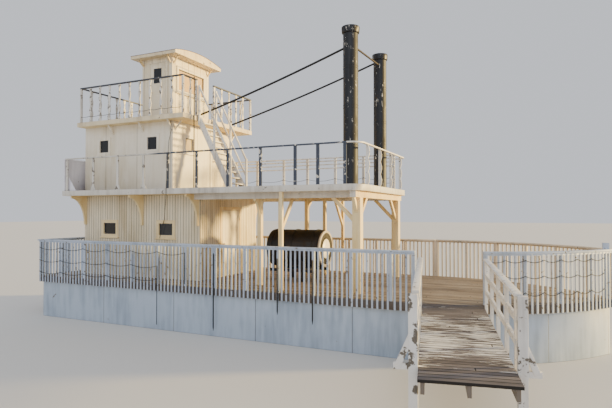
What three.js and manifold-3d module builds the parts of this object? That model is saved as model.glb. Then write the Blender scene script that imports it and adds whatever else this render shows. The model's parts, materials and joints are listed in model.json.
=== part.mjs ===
// A small two-chimney river steamboat of timber, with three decks, a deckhouse,
// a texas cabin, a pilothouse, a boarding gangway and a stern paddle wheel.
// Millimetres. +X is towards the bow, +Y to port, +Z up. The origin is on the
// centreline at the middle of the flat bottom on which the boat stands.
import * as THREE from 'three';
import { mergeVertices } from 'three/addons/utils/BufferGeometryUtils.js';
import Module from 'manifold-3d';

const wasm = await Module();
wasm.setup();

// Driving dimensions
const SEAT = 0.3; // gap left where one piece rests on or against another
const LAP = 1; // how far joined shapes run into each other
const PORT = 1;
const STARBOARD = -1;
const SIDES = [['starboard', STARBOARD], ['port', PORT]];

const MAIN = {
  top: 1200, depth: 180, halfBeam: 2400, stern: -7520, bowStart: 3200, bowRadius: 5050,
};
const HULL_INSET = 80;
const BOW_STEPS = 16;
const BOILER_DECK = {
  top: 3710, depth: 150, planks: 50, aft: -6940, fore: 2450, halfWidth: 2100, corner: 350,
};
const TEXAS_DECK = { top: 5780, depth: 130, aft: -6700, fore: -2710, halfWidth: 1790 };

const RAIL = {
  top: 1070, cap: [140, 38], band: 40, post: 60, postPitch: 914,
  paling: [40, 20], palingPitch: 114, foot: -180,
};
// The gangway opening in the starboard rail, as distances along the boat
const GANGWAY_GAP = { aft: 3710, fore: 5020 };

const PAINT = {
  cream: new THREE.MeshStandardMaterial({ color: 0xe9dcc3, roughness: 0.7, metalness: 0 }),
  hull: new THREE.MeshStandardMaterial({ color: 0xc9d2da, roughness: 0.75, metalness: 0 }),
  planks: new THREE.MeshStandardMaterial({ color: 0x8d7f6d, roughness: 0.85, metalness: 0 }),
  iron: new THREE.MeshStandardMaterial({ color: 0x1f1c1a, roughness: 0.55, metalness: 0.6 }),
  roof: new THREE.MeshStandardMaterial({ color: 0x5a3a30, roughness: 0.8, metalness: 0 }),
};

// Shapes
function solid(geometry) {
  geometry.deleteAttribute('normal');
  geometry.deleteAttribute('uv');
  const merged = mergeVertices(geometry, 1e-3);
  return new wasm.Manifold(new wasm.Mesh({
    numProp: 3,
    vertProperties: merged.attributes.position.array,
    triVerts: Uint32Array.from(merged.index.array),
  }));
}

function union(shapes) {
  return shapes.reduce((all, next) => all.add(next));
}

function block([x0, x1], [y0, y1], [z0, z1]) {
  const box = new THREE.BoxGeometry(x1 - x0, y1 - y0, z1 - z0);
  box.translate((x0 + x1) / 2, (y0 + y1) / 2, (z0 + z1) / 2);
  return solid(box);
}

function turnedBlock([x, y], yaw, [length, width], [z0, z1]) {
  const box = new THREE.BoxGeometry(length, width, z1 - z0);
  box.rotateZ(yaw);
  box.translate(x, y, (z0 + z1) / 2);
  return solid(box);
}

// Turns a shape that runs along local X so that it runs from one point to another
function layAlong(geometry, from, to) {
  const start = new THREE.Vector3(...from);
  const along = new THREE.Vector3(...to).sub(start).normalize();
  const across = new THREE.Vector3(0, 0, 1).cross(along);
  if (across.lengthSq() < 1e-6) across.set(0, 1, 0);
  across.normalize();
  const up = along.clone().cross(across);
  geometry.applyMatrix4(new THREE.Matrix4().makeBasis(along, across, up).setPosition(start));
  return solid(geometry);
}

function reach(from, to) {
  return new THREE.Vector3(...from).distanceTo(new THREE.Vector3(...to));
}

function bar(from, to, width, depth) {
  const length = reach(from, to);
  const box = new THREE.BoxGeometry(length, width, depth);
  box.translate(length / 2, 0, 0);
  return layAlong(box, from, to);
}

function rod(from, to, radius, facets = 12) {
  const length = reach(from, to);
  const round = new THREE.CylinderGeometry(radius, radius, length, facets);
  round.rotateZ(-Math.PI / 2);
  round.translate(length / 2, 0, 0);
  return layAlong(round, from, to);
}

// A round bar along points that all lie in one upright plane
function tube(points, radius, facets) {
  const path = points.map((point) => new THREE.Vector3(...point));
  const last = path.length - 1;
  const level = new THREE.Vector3().subVectors(path[last], path[0]).setZ(0).normalize();
  const across = new THREE.Vector3(0, 0, 1).cross(level);
  const places = [];
  path.forEach((point, n) => {
    const along = new THREE.Vector3()
      .subVectors(path[Math.min(n + 1, last)], path[Math.max(n - 1, 0)]).normalize();
    const up = along.clone().cross(across);
    for (let facet = 0; facet < facets; facet += 1) {
      const turn = (facet / facets) * 2 * Math.PI;
      places.push(...point.clone()
        .addScaledVector(across, radius * Math.cos(turn))
        .addScaledVector(up, radius * Math.sin(turn)).toArray());
    }
  });
  const index = [];
  for (let facet = 0; facet < facets; facet += 1) {
    const next = (facet + 1) % facets;
    for (let n = 0; n < last; n += 1) {
      const [a, b] = [n * facets + facet, n * facets + next];
      index.push(a, b, b + facets, a, b + facets, a + facets);
    }
    if (facet > 0 && facet < facets - 1) {
      const end = last * facets;
      index.push(0, next, facet, end, end + facet, end + next);
    }
  }
  const geometry = new THREE.BufferGeometry();
  geometry.setAttribute('position', new THREE.Float32BufferAttribute(places, 3));
  geometry.setIndex(index);
  return solid(geometry);
}

function outline(points) {
  return new THREE.Shape(points.map(([u, v]) => new THREE.Vector2(u, v)));
}

function slab(shape, [z0, z1]) {
  const plate = new THREE.ExtrudeGeometry(shape, { depth: z1 - z0, bevelEnabled: false });
  plate.translate(0, 0, z0);
  return solid(plate);
}

// The shape's second coordinate becomes height, and it is extruded across the boat
function sheer(shape, [y0, y1]) {
  const plate = new THREE.ExtrudeGeometry(shape, { depth: y1 - y0, bevelEnabled: false });
  plate.rotateX(Math.PI / 2);
  plate.translate(0, y1, 0);
  return solid(plate);
}

// The shape's first coordinate runs to port, its second up, and it is extruded along the boat
function bulkhead(shape, [x0, x1]) {
  const plate = new THREE.ExtrudeGeometry(shape, { depth: x1 - x0, bevelEnabled: false });
  plate.applyMatrix4(new THREE.Matrix4().makeBasis(
    new THREE.Vector3(0, 1, 0), new THREE.Vector3(0, 0, 1), new THREE.Vector3(1, 0, 0),
  ).setPosition(x0, 0, 0));
  return solid(plate);
}

function turned(profile, facets) {
  const lathe = new THREE.LatheGeometry(profile.map(([r, z]) => new THREE.Vector2(r, z)), facets);
  lathe.rotateX(Math.PI / 2);
  return solid(lathe);
}

function mesh(name, shape, material) {
  const { vertProperties, triVerts } = shape.getMesh();
  const geometry = new THREE.BufferGeometry();
  geometry.setAttribute('position', new THREE.BufferAttribute(vertProperties, 3));
  geometry.setIndex(new THREE.BufferAttribute(triVerts, 1));
  geometry.computeVertexNormals();
  const piece = new THREE.Mesh(geometry, material.clone());
  piece.name = name;
  return piece;
}

function level(height) {
  const group = new THREE.Group();
  group.position.z = height;
  return group;
}

const boat = new THREE.Group();
const mainLevel = level(MAIN.top);
const boilerLevel = level(BOILER_DECK.top);
const texasLevel = level(TEXAS_DECK.top);
boat.add(mainLevel, boilerLevel, texasLevel);

// Bow curve: two arcs that leave the straight sides and meet in a point
const BOW_TIP_ANGLE = Math.acos(1 - MAIN.halfBeam / MAIN.bowRadius);

function bowPoint(side, angle, outwards) {
  const radius = MAIN.bowRadius + outwards;
  const centre = MAIN.halfBeam - MAIN.bowRadius;
  return [MAIN.bowStart + radius * Math.sin(angle), side * (centre + radius * Math.cos(angle))];
}

function bowAngle(x) {
  return Math.asin((x - MAIN.bowStart) / MAIN.bowRadius);
}

function deckOutline(inset) {
  const tip = Math.acos((MAIN.bowRadius - MAIN.halfBeam) / (MAIN.bowRadius - inset));
  const port = [[MAIN.stern + inset, MAIN.halfBeam - inset]];
  for (let step = 0; step <= BOW_STEPS; step += 1) {
    port.push(bowPoint(PORT, tip * step / BOW_STEPS, -inset));
  }
  const starboard = port.slice(0, -1).reverse().map(([x, y]) => [x, -y]);
  return outline([...port, ...starboard]);
}

boat.add(mesh('hull', slab(deckOutline(HULL_INSET), [0, MAIN.top - MAIN.depth - SEAT]), PAINT.hull));
boat.add(mesh('main_deck', slab(deckOutline(0), [MAIN.top - MAIN.depth, MAIN.top]), PAINT.planks));

// Main deck rails: a cap on square posts, and palings that hang past the deck's edge
function stations(from, to, pitch) {
  const count = Math.max(1, Math.round((to - from) / pitch));
  return Array.from({ length: count + 1 }, (_, n) => from + (to - from) * n / count);
}

function palingComb(from, to) {
  const top = RAIL.top - RAIL.cap[1] + LAP;
  const under = RAIL.top - RAIL.cap[1] - RAIL.band;
  const count = Math.floor((to - from) / RAIL.palingPitch);
  const pitch = (to - from) / count;
  const half = RAIL.paling[0] / 2;
  const points = [[from, top], [from, under]];
  for (let n = 0; n < count; n += 1) {
    const centre = from + pitch * (n + 0.5);
    points.push([centre - half, under], [centre - half, RAIL.foot]);
    points.push([centre + half, RAIL.foot], [centre + half, under]);
  }
  points.push([to, under], [to, top]);
  return outline(points);
}

const CAP_Z = [RAIL.top - RAIL.cap[1], RAIL.top];
const POST_Z = [SEAT, RAIL.top - RAIL.cap[1] + LAP];
const CAP_OUT = 40; // how far the cap overhangs the deck's edge

function sideRail(side) {
  const edge = side * MAIN.halfBeam;
  const outerFace = edge + side * SEAT;
  const across = (a, b) => [Math.min(a, b), Math.max(a, b)];
  const postPlaces = stations(MAIN.stern + RAIL.post / 2, MAIN.bowStart, RAIL.postPitch);
  const posts = postPlaces.map((x) => block(
    [x - RAIL.post / 2, x + RAIL.post / 2],
    across(outerFace + side * LAP, edge - side * RAIL.post),
    POST_Z,
  ));
  const cap = block(
    [MAIN.stern - CAP_OUT, MAIN.bowStart + LAP],
    across(edge + side * CAP_OUT, edge + side * (CAP_OUT - RAIL.cap[0])),
    CAP_Z,
  );
  const comb = sheer(
    palingComb(MAIN.stern, MAIN.bowStart + LAP),
    across(outerFace, outerFace + side * RAIL.paling[1]),
  );
  return union([comb, cap, ...posts]);
}

function bowBand(side, [from, to], [inner, outer], z) {
  const step = BOW_TIP_ANGLE / BOW_STEPS;
  const inside = [];
  const outside = [];
  for (const angle of stations(from, to, step)) {
    inside.push(bowPoint(side, angle, inner));
    outside.push(bowPoint(side, angle, outer));
  }
  return slab(outline([...inside, ...outside.reverse()]), z);
}

function curvedRail(side, from, to, firstPost) {
  const palingStep = RAIL.palingPitch / MAIN.bowRadius;
  const palingAngles = stations(from + palingStep / 2, to - palingStep / 2, palingStep);
  const palings = palingAngles.map((angle) => turnedBlock(
    bowPoint(side, angle, SEAT + RAIL.paling[1] / 2),
    -side * angle,
    [RAIL.paling[0], RAIL.paling[1]],
    [RAIL.foot, POST_Z[1]],
  ));
  const half = RAIL.post / 2 / MAIN.bowRadius;
  const postAngles = stations(from + half, to - half, RAIL.postPitch / MAIN.bowRadius);
  const posts = postAngles.slice(firstPost).map((angle) => turnedBlock(
    bowPoint(side, angle, SEAT + LAP - RAIL.post / 2),
    -side * angle,
    [RAIL.post, RAIL.post],
    POST_Z,
  ));
  return union([
    bowBand(side, [from, to], [CAP_OUT - RAIL.cap[0], CAP_OUT], CAP_Z),
    bowBand(side, [from, to], [SEAT, SEAT + RAIL.paling[1]], [CAP_Z[0] - RAIL.band, POST_Z[1]]),
    ...palings,
    ...posts,
  ]);
}

const STEM_POST = { side: 130, height: 1200, aft: 95 };
const BOW_OVERRUN = 60; // past the centreline, where the two sides are cut to meet
const BOW_TIP = bowPoint(PORT, BOW_TIP_ANGLE, 0)[0];

function bowRail(side, from) {
  const stem = block(
    [BOW_TIP - STEM_POST.aft - STEM_POST.side, BOW_TIP - STEM_POST.aft],
    [-STEM_POST.side / 2, STEM_POST.side / 2],
    [SEAT, STEM_POST.height],
  );
  const tip = BOW_TIP_ANGLE + BOW_OVERRUN / MAIN.bowRadius;
  const whole = union([curvedRail(side, from, tip, 0), stem]);
  const room = 3000;
  const own = side === PORT ? [SEAT / 2, room] : [-room, -SEAT / 2];
  return whole.intersect(block([0, BOW_TIP + room], own, [-room, room]));
}

function sternRail() {
  const end = MAIN.halfBeam - RAIL.cap[0] + CAP_OUT - SEAT;
  const face = MAIN.stern - SEAT;
  const postPlaces = stations(-MAIN.halfBeam, MAIN.halfBeam, RAIL.postPitch).slice(1, -1);
  const posts = postPlaces.map((y) => block(
    [face - LAP, face + RAIL.post],
    [y - RAIL.post / 2, y + RAIL.post / 2],
    POST_Z,
  ));
  return union([
    bulkhead(palingComb(-end, end), [face - RAIL.paling[1], face]),
    block([MAIN.stern - CAP_OUT, MAIN.stern - CAP_OUT + RAIL.cap[0]], [-end, end], CAP_Z),
    ...posts,
  ]);
}

// Where a curved rail starts, clear of the last post of the straight one
const PAST_SIDE_POST = (RAIL.post / 2 + 4) / MAIN.bowRadius;

const gapStart = bowAngle(GANGWAY_GAP.aft);
mainLevel.add(
  mesh('main_rail_starboard', sideRail(STARBOARD), PAINT.cream),
  mesh('gangway_rail_return', curvedRail(STARBOARD, PAST_SIDE_POST, gapStart, 1), PAINT.cream),
  mesh('main_rail_port', sideRail(PORT), PAINT.cream),
  mesh('main_rail_stern', sternRail(), PAINT.cream),
  mesh('bow_rail_starboard', bowRail(STARBOARD, bowAngle(GANGWAY_GAP.fore)), PAINT.cream),
  mesh('bow_rail_port', bowRail(PORT, PAST_SIDE_POST), PAINT.cream),
);

// Cabins: four walls each, built flat in a wall's own frame (X along it, outside face at
// Y = 0 facing -Y) and turned to their place, with a hinged door leaf in one of them
const TRIM = { proud: 22, width: 90, sill: [25, 30] }; // sill: its reach past the casing, its height
const LEAF = { thick: 40, gap: 8, head: 6 };
const KNOB = { inset: 60, neck: 10, length: 56, head: 28, radius: 25 };
const HINGE = { radius: 8, stand: 9, tall: 60, leaf: 60, plate: 6, heights: [0.12, 0.85] };
const THROUGH = [-200, 200]; // past both faces of any wall

function windowTrim({ at, z, width, height }) {
  const half = width / 2 + TRIM.width;
  const [past, deep] = TRIM.sill;
  const foot = z - height / 2 - TRIM.width;
  return union([
    block([at - half, at + half], [-TRIM.proud, LAP], [foot, z + height / 2 + TRIM.width]),
    block([at - half - past, at + half + past], [-TRIM.proud - deep, LAP], [foot - deep, foot]),
  ]);
}

function windowHole({ at, z, width, height }) {
  return block([at - width / 2, at + width / 2], THROUGH, [z - height / 2, z + height / 2]);
}

function doorway({ hinge, width, height }) {
  const jamb = LEAF.gap / 2;
  return [hinge - width - LEAF.gap * 1.5, hinge + jamb, height + LEAF.gap + LEAF.head];
}

function hingeHalf(hinge, z, away) {
  const face = -TRIM.proud;
  const pin = face - HINGE.stand;
  const barrel = rod([hinge, pin, z], [hinge, pin, z + HINGE.tall], HINGE.radius, 10);
  const plate = block(
    [Math.min(hinge, hinge + away * HINGE.leaf), Math.max(hinge, hinge + away * HINGE.leaf)],
    [face - HINGE.plate, face + LAP],
    [z, z + HINGE.tall],
  );
  return union([barrel, plate]);
}

function wallPanel({ length, height, thick, windows = [], door }) {
  let panel = block([0, length], [0, thick], [SEAT, height - SEAT]);
  for (const opening of windows) panel = panel.add(windowTrim(opening)).subtract(windowHole(opening));
  if (!door) return panel;
  const [left, right, head] = doorway(door);
  const casing = [left - TRIM.width, right + TRIM.width];
  panel = panel.add(block(casing, [-TRIM.proud, LAP], [SEAT, head + TRIM.width]));
  panel = panel.subtract(block([left, right], THROUGH, [-SEAT, head]));
  const halves = HINGE.heights.map((part) => hingeHalf(door.hinge, door.height * part, 1));
  return union([panel, ...halves]);
}

function doorLeaf({ hinge, width, height, window, knob = 950 }) {
  const start = hinge - LEAF.gap / 2 - width;
  const face = -TRIM.proud;
  let leaf = block([start, start + width], [face, face + LEAF.thick], [LEAF.gap, LEAF.gap + height]);
  if (window) leaf = leaf.subtract(windowHole({ at: start + width / 2, ...window }));
  const x = start + KNOB.inset;
  const head = face - KNOB.length + KNOB.head;
  const halves = HINGE.heights.map(
    (part) => hingeHalf(hinge, height * part + HINGE.tall + SEAT, -1),
  );
  return union([
    leaf,
    ...halves,
    rod([x, face + LAP, knob], [x, head - LAP, knob], KNOB.neck, 10),
    rod([x, head, knob], [x, face - KNOB.length, knob], KNOB.radius, 12),
  ]);
}

function place(piece, x, y, quarterTurns) {
  piece.position.set(x, y, 0);
  piece.rotation.z = quarterTurns * Math.PI / 2;
  return piece;
}

function cabin(deck, spec) {
  const { name, aft, fore, halfWidth, height, thick, walls, paint } = spec;
  const length = fore - aft;
  const inner = 2 * (halfWidth - thick - SEAT);
  const build = (wall, long) => ({ length: long, height, thick, ...(walls[wall] ?? {}) });
  const finish = (wall, long) => union([
    wallPanel(build(wall, long)),
    ...(spec.extras?.[wall] ?? []),
  ]);
  const spots = [
    ['starboard', length, aft, -halfWidth, 0],
    ['front', inner, fore, -inner / 2, 1],
    ['port', length, fore, halfWidth, 2],
    ['aft', inner, aft, inner / 2, 3],
  ];
  for (const [wall, long, x, y, turns] of spots) {
    deck.add(place(mesh(`${name}_wall_${wall}`, finish(wall, long), paint), x, y, turns));
    if (walls[wall]?.door) {
      deck.add(place(mesh(`${name}_door`, doorLeaf(walls[wall].door), paint), x, y, turns));
    }
  }
}

// A curved knee: an upright leg against a wall or post, an upper leg under a deck, an arc between
function kneeShape(reachOut, drop, legs) {
  const shape = new THREE.Shape();
  shape.moveTo(0, 0);
  shape.lineTo(0, -drop);
  shape.lineTo(legs, -drop);
  for (let step = 1; step <= 6; step += 1) {
    const turn = (step / 6) * Math.PI / 2;
    shape.lineTo(
      legs + (reachOut - legs) * (1 - Math.cos(turn)),
      -drop + (drop - legs) * Math.sin(turn),
    );
  }
  shape.lineTo(reachOut, 0);
  return shape;
}

// A plate in a wall's own frame, standing out from its face at a place along it
function wallPlate(at, top, shape, thick) {
  const plate = new THREE.ExtrudeGeometry(shape, { depth: thick, bevelEnabled: false });
  plate.applyMatrix4(new THREE.Matrix4().makeBasis(
    new THREE.Vector3(0, -1, 0), new THREE.Vector3(0, 0, 1), new THREE.Vector3(-1, 0, 0),
  ).setPosition(at + thick / 2, LAP, top));
  return solid(plate);
}

function wallKnee(at, top, { out, drop, legs, thick }) {
  return wallPlate(at, top, kneeShape(out + LAP, drop, legs), thick);
}

// A straight strut from a wall up to the deck above it; deep is its level width at the top
function wallStrut(at, top, { out, drop, deep, thick }) {
  const root = -drop * (1 - deep / out);
  return wallPlate(at, top, outline([
    [0, -drop], [LAP, -drop], [LAP + out, 0], [LAP + out - deep, 0], [LAP, root], [0, root],
  ]), thick);
}

const DECKHOUSE = { aft: -6690, fore: -2360, halfWidth: 1480, thick: 90 };
const DECKHOUSE_HEIGHT = BOILER_DECK.top - BOILER_DECK.depth - MAIN.top;
const DECKHOUSE_KNEE = { out: 560, drop: 860, legs: 70, thick: 60 };
const deckhouseLength = DECKHOUSE.fore - DECKHOUSE.aft;
const END_KNEE = 60; // from a wall's end to the middle of its last knee
const kneePlaces = [END_KNEE, 2310, deckhouseLength - END_KNEE];
const deckhouseWindows = [1040, 3150]; // distances from the aft corner to the windows' middles
const deckhouseKnees = (places) => places.map(
  (at) => wallKnee(at, DECKHOUSE_HEIGHT - SEAT, DECKHOUSE_KNEE),
);
const fromFore = (length, places) => places.map((at) => length - at);
const SMALL_WINDOW = { z: 1390, width: 480, height: 330 };
const DECKHOUSE_DOOR = { width: 900, height: 1920 };
const windowsOf = (size, places) => places.map((at) => ({ at, ...size }));
const doorMiddle = (width, middle) => middle + width / 2 + LEAF.gap / 2;
const deckhouseMiddle = DECKHOUSE.halfWidth - DECKHOUSE.thick - SEAT;

cabin(mainLevel, {
  name: 'deckhouse',
  ...DECKHOUSE,
  height: DECKHOUSE_HEIGHT,
  paint: PAINT.cream,
  walls: {
    starboard: { windows: windowsOf(SMALL_WINDOW, deckhouseWindows) },
    port: { windows: windowsOf(SMALL_WINDOW, fromFore(deckhouseLength, deckhouseWindows)) },
    front: {
      door: { ...DECKHOUSE_DOOR, hinge: doorMiddle(DECKHOUSE_DOOR.width, deckhouseMiddle) },
    },
  },
  extras: {
    starboard: deckhouseKnees(kneePlaces),
    port: deckhouseKnees(fromFore(deckhouseLength, kneePlaces)),
  },
});

// Boiler deck: planks on cross joists inside a deep edge board, with a ceiling over the deckhouse
const CORNER_STEPS = 5;

function cornerPoints({ fore, halfWidth, corner }, inset) {
  const radius = corner - inset;
  const turn = Array.from({ length: CORNER_STEPS + 1 }, (_, n) => n / CORNER_STEPS * Math.PI / 2);
  const port = turn.map((angle) => [
    fore - corner + radius * Math.cos(angle),
    halfWidth - corner + radius * Math.sin(angle),
  ]);
  return [...port.map(([x, y]) => [x, -y]).reverse(), ...port];
}

function roundedDeck(deck, inset) {
  const aft = deck.aft + inset;
  const side = deck.halfWidth - inset;
  return outline([[aft, -side], ...cornerPoints(deck, inset), [aft, side]]);
}

const JOIST = { width: 45, pitch: 600, above: 15 }; // above: from the edge board's foot to a joist's
const EDGE_BOARD = 45;
const deckUnder = BOILER_DECK.top - BOILER_DECK.depth;
const planksUnder = BOILER_DECK.top - BOILER_DECK.planks;
const joistUnder = deckUnder + JOIST.above;

// Two girders beside the boiler, from the deckhouse's front knees to a beam near the bow end
const GIRDER = { y: 1670, wide: 100, under: deckUnder - 150 };
const FRONT_BEAM = { x: 2220, wide: 150, halfLength: 2000 };

function boilerDeck() {
  const lastJoist = BOILER_DECK.fore - JOIST.pitch / 2;
  const places = stations(DECKHOUSE.fore + JOIST.pitch, lastJoist, JOIST.pitch);
  const joistEnd = BOILER_DECK.halfWidth - EDGE_BOARD / 2;
  const joists = places.map((x) => block(
    [x - JOIST.width / 2, x + JOIST.width / 2],
    [-joistEnd, joistEnd],
    [joistUnder, planksUnder + LAP],
  ));
  const well = slab(
    roundedDeck({ ...BOILER_DECK, aft: DECKHOUSE.fore - EDGE_BOARD }, EDGE_BOARD),
    [deckUnder - LAP, planksUnder],
  );
  const kneeFace = DECKHOUSE.fore - END_KNEE + DECKHOUSE_KNEE.thick / 2;
  const girders = SIDES.map(([, side]) => block(
    [kneeFace + SEAT, FRONT_BEAM.x],
    [side * GIRDER.y - GIRDER.wide / 2, side * GIRDER.y + GIRDER.wide / 2],
    [GIRDER.under, planksUnder + LAP],
  ));
  const beam = block(
    [FRONT_BEAM.x - FRONT_BEAM.wide / 2, FRONT_BEAM.x + FRONT_BEAM.wide / 2],
    [-FRONT_BEAM.halfLength, FRONT_BEAM.halfLength],
    [GIRDER.under, planksUnder + LAP],
  );
  const planks = slab(roundedDeck(BOILER_DECK, 0), [deckUnder, BOILER_DECK.top]);
  return union([planks.subtract(well), ...joists, ...girders, beam]);
}

boat.add(mesh('boiler_deck', boilerDeck(), PAINT.planks));

// Posts under the boiler deck. Yaw is counted from the bow, positive towards the near rail
const girderTop = GIRDER.under - MAIN.top - SEAT; // where what carries a girder ends
const joistTop = joistUnder - MAIN.top - SEAT; // where what carries the joists ends

function squarePost([x, y], width, top) {
  return block([x - width / 2, x + width / 2], [y - width / 2, y + width / 2], [SEAT, top]);
}

// A straight brace that leaves a post's middle and is cut level under what it props
function brace([x, y], yaw, { run, drop, top, section }) {
  const at = (part) => [
    x + part * run * Math.cos(yaw), y + part * run * Math.sin(yaw), top + (part - 1) * drop,
  ];
  const above = block([x - 2 * run, x + 2 * run], [y - 2 * run, y + 2 * run], [top, top + drop]);
  return bar(at(0), at(1.3), ...section).subtract(above);
}

const KNEE = { legs: 60, thick: 60 };

function postKnee([x, y], yaw, { run, drop, top }) {
  const plate = new THREE.ExtrudeGeometry(
    kneeShape(run, drop, KNEE.legs), { depth: KNEE.thick, bevelEnabled: false },
  );
  plate.rotateX(Math.PI / 2);
  plate.translate(0, KNEE.thick / 2, top);
  plate.rotateZ(yaw);
  plate.translate(x, y, 0);
  return solid(plate);
}

const FRONT_POST = { x: FRONT_BEAM.x, y: GIRDER.y, width: 200 };
const FRONT_BRACES = [
  [Math.PI, { run: 600, drop: 620, top: girderTop, section: [70, 90] }],
  [-Math.PI / 2, { run: 600, drop: 600, top: girderTop, section: [70, 90] }],
  [Math.PI / 2, { run: 270, drop: 430, top: girderTop, section: [70, 90] }],
];
const MID_POST = { x: 430, y: BOILER_DECK.halfWidth - 50, width: 80 };
const MID_BRACE = { run: 750, drop: 920, top: joistTop, section: [60, 80] };
// Two slim posts a side by the boiler, under one plate that carries the joists
const INNER = { y: 1430, aft: -510, fore: 85, widths: [110, 90], plate: [90, 110], past: [250, 200] };
const INNER_KNEE = { run: 190, drop: 300, top: joistTop - INNER.plate[1] + LAP };
const OUTER_KNEE = { run: 290, drop: 640, top: girderTop };

function innerFrame(side) {
  const y = side * INNER.y;
  const places = [[INNER.aft, y], [INNER.fore, y]];
  const [wide, deep] = INNER.plate;
  return union([
    block(
      [INNER.aft - INNER.past[0], INNER.fore + INNER.past[1]],
      [y - wide / 2, y + wide / 2],
      [joistTop - deep, joistTop],
    ),
    ...places.map((place, n) => squarePost(place, INNER.widths[n], joistTop - deep + LAP)),
    postKnee(places[0], 0, INNER_KNEE),
    postKnee(places[0], side * Math.PI / 2, OUTER_KNEE),
  ]);
}

for (const [sideName, side] of SIDES) {
  const front = [FRONT_POST.x, side * FRONT_POST.y];
  const mid = [MID_POST.x, side * MID_POST.y];
  mainLevel.add(
    mesh(`front_post_${sideName}`, union([
      squarePost(front, FRONT_POST.width, girderTop),
      ...FRONT_BRACES.map(([yaw, spec]) => brace(front, side * yaw, spec)),
    ]), PAINT.cream),
    mesh(`mid_post_${sideName}`, union([
      squarePost(mid, MID_POST.width, deckUnder - MAIN.top - SEAT),
      brace(mid, -side * Math.PI / 2, MID_BRACE),
    ]), PAINT.cream),
    mesh(`inner_frame_${sideName}`, innerFrame(side), PAINT.cream),
  );
}

// Boiler on the foredeck: a lagged barrel with a firebox behind, a ringed front and a low cradle
const BOILER = { aft: -850, length: 1530, radius: 510, axis: 880, facets: 24, bevel: [35, 25] };
const STRAP = { places: [120, 740, 1360], half: 30, proud: 14, sunk: 30 };
// saddles: distances from the boiler's aft end, between its straps
const CRADLE = { saddles: [390, 1080], halfGauge: 380, reach: 420, saddle: [120, 300, 560], leg: 100 };
const CRADLE_RAIL = { from: 40, to: 1480, wide: 80, z: [250, 330] };

const boilerBarrel = turned([
  [0, 0], [BOILER.radius, 0], [BOILER.radius, BOILER.length - BOILER.bevel[1]],
  [BOILER.radius - BOILER.bevel[0], BOILER.length], [0, BOILER.length],
], BOILER.facets);
const boilerStraps = STRAP.places.map((z) => {
  const [inner, outer] = [BOILER.radius - STRAP.sunk, BOILER.radius + STRAP.proud];
  const [from, to] = [z - STRAP.half, z + STRAP.half];
  return turned([[inner, from], [outer, from], [outer, to], [inner, to], [inner, from]], BOILER.facets);
});
const boiler = new THREE.Group();
boiler.position.set(BOILER.aft, 0, BOILER.axis);
boiler.rotation.y = Math.PI / 2;
mainLevel.add(boiler);
boiler.add(mesh('boiler_barrel', union([boilerBarrel, ...boilerStraps]), PAINT.iron));
// columns: radius, distance from the barrel's end
const boilerFront = mesh('boiler_front', turned([
  [0, SEAT], [470, SEAT], [490, 15], [490, 60], [430, 60], [415, 40],
  [300, 40], [285, 75], [120, 95], [0, 95],
], BOILER.facets), PAINT.iron);
boilerFront.position.z = BOILER.length;
boiler.add(boilerFront);

function boilerCradle() {
  const { saddles, halfGauge, reach: out, leg } = CRADLE;
  const [wide, under, over] = CRADLE.saddle;
  const shapes = saddles.map((x) => block([x - wide / 2, x + wide / 2], [-out, out], [under, over]));
  for (const y of [-halfGauge, halfGauge]) {
    for (const x of saddles) {
      shapes.push(block([x - leg / 2, x + leg / 2], [y - leg / 2, y + leg / 2], [SEAT, under + 20]));
    }
    shapes.push(block(
      [CRADLE_RAIL.from, CRADLE_RAIL.to], [y - CRADLE_RAIL.wide / 2, y + CRADLE_RAIL.wide / 2], CRADLE_RAIL.z,
    ));
  }
  const clear = BOILER.radius + SEAT / Math.cos(Math.PI / BOILER.facets);
  const room = new THREE.CylinderGeometry(clear, clear, 2 * BOILER.length, BOILER.facets);
  room.rotateZ(Math.PI / 2);
  room.translate(BOILER.length / 2, 0, BOILER.axis);
  return union(shapes).subtract(solid(room));
}
const cradle = mesh('boiler_cradle', boilerCradle(), PAINT.iron);
cradle.position.x = BOILER.aft;
mainLevel.add(cradle);

// Chimneys: tall open pipes on the boiler deck, with a flared lip, tied together and stayed aft
const CHIMNEY = { x: 1890, y: 1220, radius: 182, bore: 170, height: 3860, facets: 20 };
const STAY = { radius: 29, sag: 50, steps: 6, facets: 8 };
// The photograph's stays and tie are not level with each other. Heights are over the boiler deck,
// and each foot stands on the texas deck
const TEXAS_RISE = TEXAS_DECK.top - BOILER_DECK.top;
const RIGGING = {
  starboard: { top: 3415, foot: [-3060, -920] },
  port: { top: 3685, foot: [-2860, 665] },
  tie: [3450, 3550],
  tieRadius: 28,
};

// columns: radius past the pipe's, height from the foot, or from the top where it is negative
const CHIMNEY_OUTSIDE = [
  [60, SEAT], [60, 25], [0, 40], [0, -175], [30, -150], [38, -60], [38, -SEAT],
];

function chimneyOutside(grown) {
  const { radius, height } = CHIMNEY;
  return CHIMNEY_OUTSIDE.map(([past, z]) => [radius + past + grown, z < 0 ? height + z : z]);
}

function chimneyPipe() {
  const { bore, height } = CHIMNEY;
  return turned([
    [0, SEAT], ...chimneyOutside(0), [bore + 30, height - SEAT], [bore, height - 80], [bore, 30], [0, 30],
  ], CHIMNEY.facets);
}

function chimneyRoom(side) {
  const grown = chimneyOutside(SEAT / Math.cos(Math.PI / CHIMNEY.facets));
  const round = turned([[0, SEAT], ...grown, [0, CHIMNEY.height - SEAT]], CHIMNEY.facets);
  return round.translate([CHIMNEY.x, side * CHIMNEY.y, 0]);
}

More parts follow.
